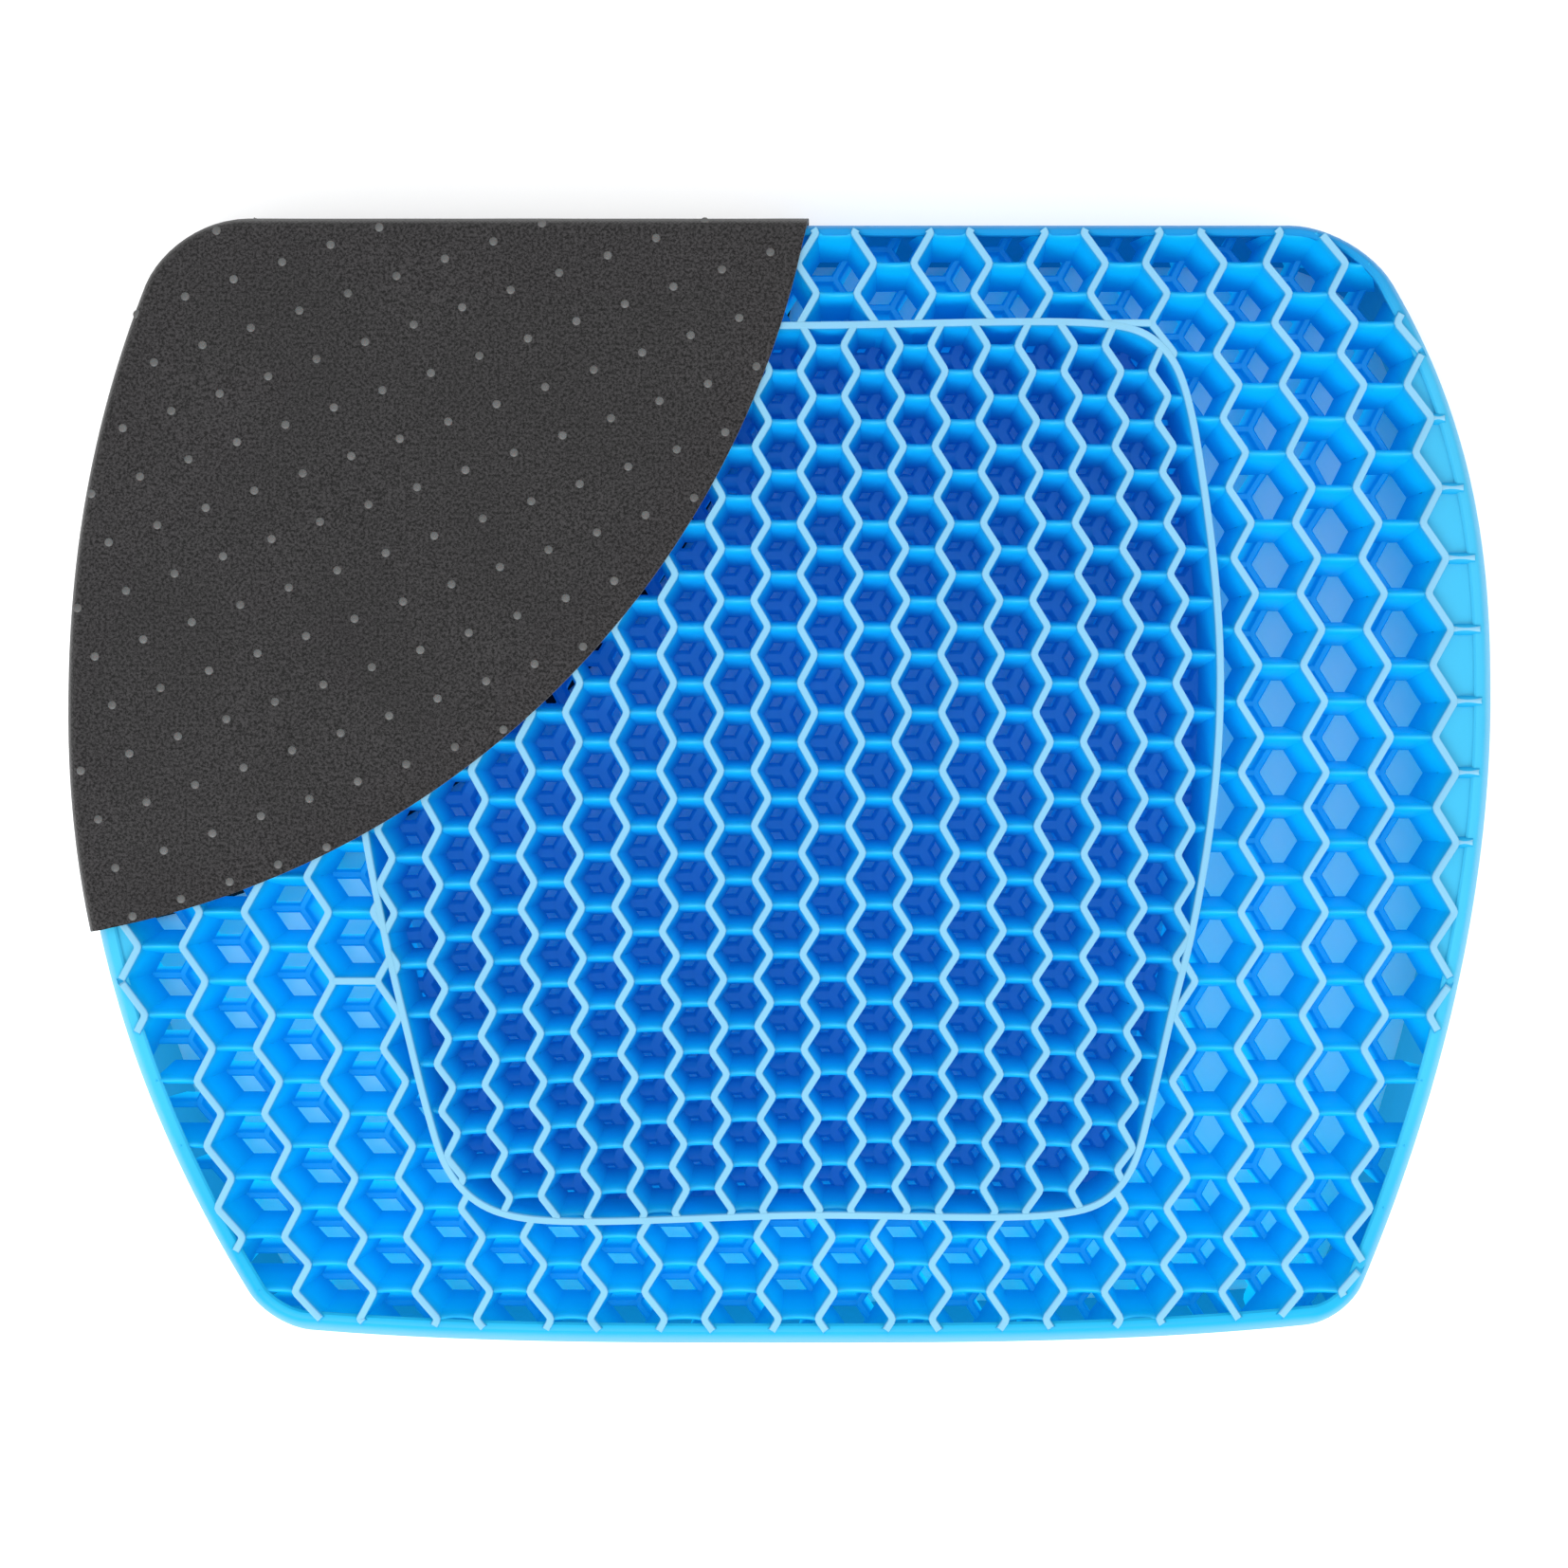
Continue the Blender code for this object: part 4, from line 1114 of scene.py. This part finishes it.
def enamel_material():
    """Black enamel over cast zinc, thinner and brighter where it has rubbed."""
    mat, nt, shader = new_material("Zip_Black_Enamel")
    where = object_position(nt)
    geometry = node(nt, "ShaderNodeNewGeometry")
    rub = node(nt, "ShaderNodeTexNoise", Scale=700.0, Detail=4.0, Roughness=0.7)
    link(nt, where, rub.inputs["Vector"])
    edge = ramp(nt, geometry.outputs["Pointiness"], ((0.56, (0.0, 0.0, 0.0)), (0.7, (1.0, 1.0, 1.0))))
    worn = maths(nt, "MULTIPLY", edge, rub.outputs["Fac"])
    link(nt, mix(nt, worn, (0.01, 0.01, 0.011), (0.07, 0.07, 0.073)), shader.inputs["Base Color"])
    link(nt, ramp(nt, rub.outputs["Fac"], ((0.3, (0.26, 0.26, 0.26)), (0.7, (0.4, 0.4, 0.4)))), shader.inputs["Roughness"])
    shader.inputs["Metallic"].default_value = 0.55
    bump = node(nt, "ShaderNodeBump", Strength=0.12, Distance=0.00008)
    link(nt, rub.outputs["Fac"], bump.inputs["Height"])
    link(nt, bump.outputs["Normal"], shader.inputs["Normal"])
    return mat


def declare(obj, nodes):
    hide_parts(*nodes)
    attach(obj, "cover")


def make_cover():
    knit = cloth_material("Cover_Weave_Top", (0.001, 0.0009, 0.001), (0.0283, 0.027, 0.0281))
    under = cloth_material("Cover_Weave_Under", (0.0092, 0.0089, 0.0092), (0.02, 0.0193, 0.0197), weave=1.1)
    band_cloth = cloth_material("Cover_Weave_Band", (0.009, 0.0087, 0.009), (0.021, 0.0202, 0.0206))

    verts, faces = panel(TOP_OUTER, PATH, LEAN, False, top_relief)
    top = sheet_object("cover_top_cloth", verts, faces, knit)
    declare(top, ["cover_top_panel"])
    verts, faces = panel(BOTTOM_OUTER, PATH, LEAN, True, bottom_relief)
    bottom = sheet_object("cover_bottom_cloth", verts, faces, under)
    declare(bottom, ["cover_bottom_panel"])

    left = part_of_path(x_to=SEAM_X)
    rear = part_of_path(x_from=SEAM_X + 0.05)
    for name, node_name, profile, run, puff in (
        ("cover_band_left_upper_cloth", "cover_band_left_upper", BAND_UP_OUTER, left, 0.12),
        ("cover_band_left_lower_cloth", "cover_band_left_lower", BAND_LOW_OUTER, left, 0.3),
        ("cover_band_rear_upper_cloth", "cover_band_rear_upper", BAND_UP_OUTER, rear, 0.12),
        ("cover_band_rear_lower_cloth", "cover_band_rear_lower", STRIP_OUTER, rear, 0.0),
    ):
        verts, faces = swept(profile, *run, puff=puff)
        obj = sheet_object(name, verts, faces, band_cloth)
        # the strip under the zip is a 10 mm tape of which the turned-in part is not modelled
        declare(obj, [node_name])

    # grip dots: low silicone domes, trimmed where the cloth is cut
    surface = {}
    b = Builder()
    rings_r = ((1.0, -0.12), (0.97, 0.1), (0.86, 0.26), (0.62, 0.41), (0.3, 0.48))
    n = 20
    for p in dot_grid():
        z0 = TOP_OUTER[-1][1] + top_relief(p, min(1.0, (np.linalg.norm(PATH - p, axis=1).min() - 7.4) / 14.0 if np.linalg.norm(PATH - p, axis=1).min() > 7.4 else 0.0))
        near = np.linalg.norm(PATH - p, axis=1).min()
        if near < 7.4:
            z0 = float(np.interp(near, [q[0] for q in TOP_OUTER], [q[1] for q in TOP_OUTER]))
        verts, faces = [], []
        for r, h in rings_r:
            for k in range(n):
                a = math.tau * k / n
                q = p + DOT_RADIUS * r * np.array((math.cos(a), math.sin(a)))
                d = q - CUT_CENTRE
                far = np.linalg.norm(d)
                if far > CUT_RADIUS:
                    q = CUT_CENTRE + d / far * (CUT_RADIUS + 0.004 * (far - CUT_RADIUS))
                verts.append((q[0], q[1], z0 + h * DOT_HEIGHT / 0.48))
        verts.append((*(p), z0 + DOT_HEIGHT))
        for k in range(len(rings_r) - 1):
            for j in range(n):
                faces.append((k * n + j, k * n + (j + 1) % n, (k + 1) * n + (j + 1) % n, (k + 1) * n + j))
        top_ring = (len(rings_r) - 1) * n
        for j in range(n):
            faces.append((top_ring + j, top_ring + (j + 1) % n, len(verts) - 1))
        faces.append(tuple(range(n))[::-1])
        b.add(verts, faces)
    dots = b.object("grip_dots", [dot_material()], sharp=0)
    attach(dots, "cover")

    # sewing: one seam low round the cover's edge, one row of topstitching along the zip, and the seam where the left
    # and rear bands meet
    b = Builder()
    for inset, z, slope in ((2.05, 5.6, 0.0),):
        pts = np.column_stack([PATH - LEAN * inset, np.full(len(PATH), z)])
        nrm = np.column_stack([LEAN / np.linalg.norm(LEAN, axis=1, keepdims=True), np.full(len(PATH), slope)])
        thread_run(b, pts[1:-1], nrm[1:-1])
    rear_pts, rear_leans = rear
    keep = rear_pts[:, 0] > SEAM_X + 1.0
    line = rear_pts[keep]
    pts = np.column_stack([line[:, 0], np.full(len(line), REAR_Y + COVER_OUT - 1.32), np.full(len(line), 17.0)])
    thread_run(b, pts[:-1], np.tile((0.0, 1.0, -0.45), (len(line) - 1, 1)))
    seam_z = np.linspace(5.5, 31.5, 28)
    ins = np.array([float(np.interp(z, [q[1] for q in BAND_UP_OUTER], [q[0] for q in BAND_UP_OUTER])) if z > 15.28 else 1.75 for z in seam_z])
    for dx in (-1.6,):
        pts = np.column_stack([np.full(28, SEAM_X + dx), REAR_Y + COVER_OUT - ins + 0.02, seam_z])
        thread_run(b, pts, np.tile((0.0, 1.0, 0.0), (28, 1)))
    # a bar tack closes the zip's end between the two tapes
    low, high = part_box("zip_tape_upper")
    for k in range(9):
        x = low.x / MM - SHIFT[0] + 0.3 + 0.38 * k
        half = 2.75 + 0.1 * (-1) ** k
        rings = []
        for t in np.linspace(-1, 1, 9):
            c = np.array((x, high.y / MM - SHIFT[1] + 0.12 - 0.3 * t**4, ZIP_Z + half * t))
            rings.append([c + 0.25 * np.array((math.cos(w), math.sin(w), 0.0)) for w in np.linspace(0, math.tau, 9)[:-1]])
        b.tube(rings, False)
    threads = b.object("sewing_threads", [thread_material()], sharp=0)
    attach(threads, "cover")
    print("cover pieces", len(top.data.polygons), len(bottom.data.polygons), len(dots.data.polygons), len(threads.data.polygons))


def make_zip():
    tape = tape_material()
    enamel = enamel_material()
    for name in ("zip_tape_upper", "zip_tape_lower"):
        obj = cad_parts[name]
        obj.data.materials.clear()
        obj.data.materials.append(tape)
    for name in ("zip_end_stop", "zip_slider", "zip_pull"):
        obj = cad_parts[name]
        obj.data.materials.clear()
        obj.data.materials.append(enamel)
    # the woven inner edges of the two tapes, behind the coils and on to the seam
    b = Builder()
    low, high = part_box("zip_tape_upper")
    back = high.y / MM - SHIFT[1] - 0.62
    ends = np.linspace(low.x / MM - SHIFT[0] + 0.05, high.x / MM - SHIFT[0] - 0.05, 90)
    for sign in (1, -1):
        z0, z1 = sorted((ZIP_Z + sign * 0.03, ZIP_Z + sign * 2.42))
        rings = []
        for x in ends:
            ripple = 0.03 * math.sin(x * 2.1 + sign)
            rings.append([(x, back + ripple + dy, z) for dy, z in ((0.0, z0 + 0.1), (0.12, z0), (0.3, z0), (0.42, z0 + 0.1), (0.42, z1 - 0.1), (0.3, z1), (0.12, z1), (0.0, z1 - 0.1))])
        b.tube(np.array(rings), False)
    edges = b.object("zip_tape_edges", [tape], sharp=0)
    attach(edges, "cover")
    # interlocking coil teeth: each is one bent turn of the monofilament
    nylon = nylon_material()
    pitch = 1.5
    for name, node_name, sign, phase in (("zip_coil_upper", "zip_teeth_upper", 1, 0.0), ("zip_coil_lower", "zip_teeth_lower", -1, 0.5)):
        low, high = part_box(node_name)
        x0, x1 = low.x / MM - SHIFT[0], high.x / MM - SHIFT[0]
        y_back, y_front = low.y / MM - SHIFT[1], high.y / MM - SHIFT[1]
        b = Builder()
        x = x0 + 0.45 + phase * pitch
        while x < x1 - 0.5:
            # a U-shaped loop: out along the top, a rounded head at the middle, back underneath
            path = []
            for q in np.linspace(0, 1, 5):
                path.append((x - 0.2, y_front - 0.34, ZIP_Z + sign * (1.95 - 1.5 * q)))
            for q in np.linspace(0, 1, 5)[1:-1]:
                ang = math.pi * q
                path.append((x + 0.05 * q, y_front - 0.34 - 0.32 * (1 - math.cos(ang)) , ZIP_Z + sign * (0.45 - 0.34 * math.sin(ang))))
            for q in np.linspace(0, 1, 4):
                path.append((x + 0.25, y_front - 1.0, ZIP_Z + sign * (0.45 + 1.5 * q)))
            path = np.array(path)
            d = np.gradient(path, axis=0)
            d /= np.linalg.norm(d, axis=1, keepdims=True)
            rings = []
            for k, (c, t) in enumerate(zip(path, d)):
                u = np.cross(t, (1.0, 0.0, 0.0))
                if np.linalg.norm(u) < 1e-3:
                    u = np.array((0.0, 1.0, 0.0))
                u /= np.linalg.norm(u)
                v = np.cross(t, u)
                r = 0.33
                wide = 1.35 if 4 <= k <= 8 else 1.0
                rings.append([c + r * (math.cos(w) * u + wide * math.sin(w) * v) for w in np.linspace(0, math.tau, 9)[:-1]])
            b.tube(rings, False)
            x += pitch
        # the sewing cord that holds the turns to the tape
        zc = ZIP_Z + sign * 1.72
        cord_path = np.column_stack([np.linspace(x0 + 0.2, x1 - 0.2, 200), np.full(200, y_front - 0.12), zc + 0.12 * np.sin(np.linspace(0, (x1 - x0) / pitch * math.tau, 200))])
        rings = [[c + 0.2 * np.array((0, math.cos(w), math.sin(w))) for w in np.linspace(0, math.tau, 7)[:-1]] for c in cord_path]
        b.tube(rings, False)
        obj = b.object(name, [nylon], sharp=0)
        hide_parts(node_name)
        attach(obj, "cover")
        print(name, len(obj.data.polygons))


# ------------------------------------------------------------------ camera, light, floor
def make_stage():
    bpy.ops.mesh.primitive_plane_add(size=8.0, location=(0, 0, -0.0004))
    floor = bpy.context.object
    floor.name = "floor"
    mat, nt, shader = new_material("Pale_Floor")
    shader.inputs["Base Color"].default_value = (0.92, 0.925, 0.93, 1)
    shader.inputs["Roughness"].default_value = 0.9
    floor.data.materials.append(mat)

    cam_data = bpy.data.cameras.new("camera")
    cam = bpy.data.objects.new("camera", cam_data)
    bpy.context.scene.collection.objects.link(cam)
    cam.location = ((1.17 + SHIFT[0]) * MM, (-0.73 + SHIFT[1]) * MM, 1.020)
    cam.rotation_euler = (0, 0, 0)
    cam_data.sensor_width = 36.0
    cam_data.lens = 18.0 / math.tan(math.radians(27.3 / 2))
    cam_data.clip_start, cam_data.clip_end = 0.01, 20
    bpy.context.scene.camera = cam

    def area(name, location, size, power, colour=(1, 1, 1)):
        data = bpy.data.lights.new(name, "AREA")
        data.shape = "RECTANGLE"
        data.size, data.size_y = size
        data.energy = power
        data.color = colour
        obj = bpy.data.objects.new(name, data)
        obj.location = location
        obj.rotation_euler = (Vector((0, 0, 0.02)) - Vector(location)).to_track_quat("-Z", "Y").to_euler()
        bpy.context.scene.collection.objects.link(obj)

    area("key", (-0.4, -1.4, 1.5), (1.6, 1.2), 50)
    area("fill", (1.1, 0.7, 1.7), (1.8, 1.8), 10)
    world = bpy.data.worlds.new("studio")
    bpy.context.scene.world = world
    world.use_nodes = True
    background = world.node_tree.nodes.get("Background") or world.node_tree.nodes.new("ShaderNodeBackground")
    background.inputs["Color"].default_value = (1, 1, 1, 1)
    background.inputs["Strength"].default_value = 1.3
    bpy.context.scene.view_settings.view_transform = "Standard"


make_stage()
make_gel()
make_cover()
make_zip()
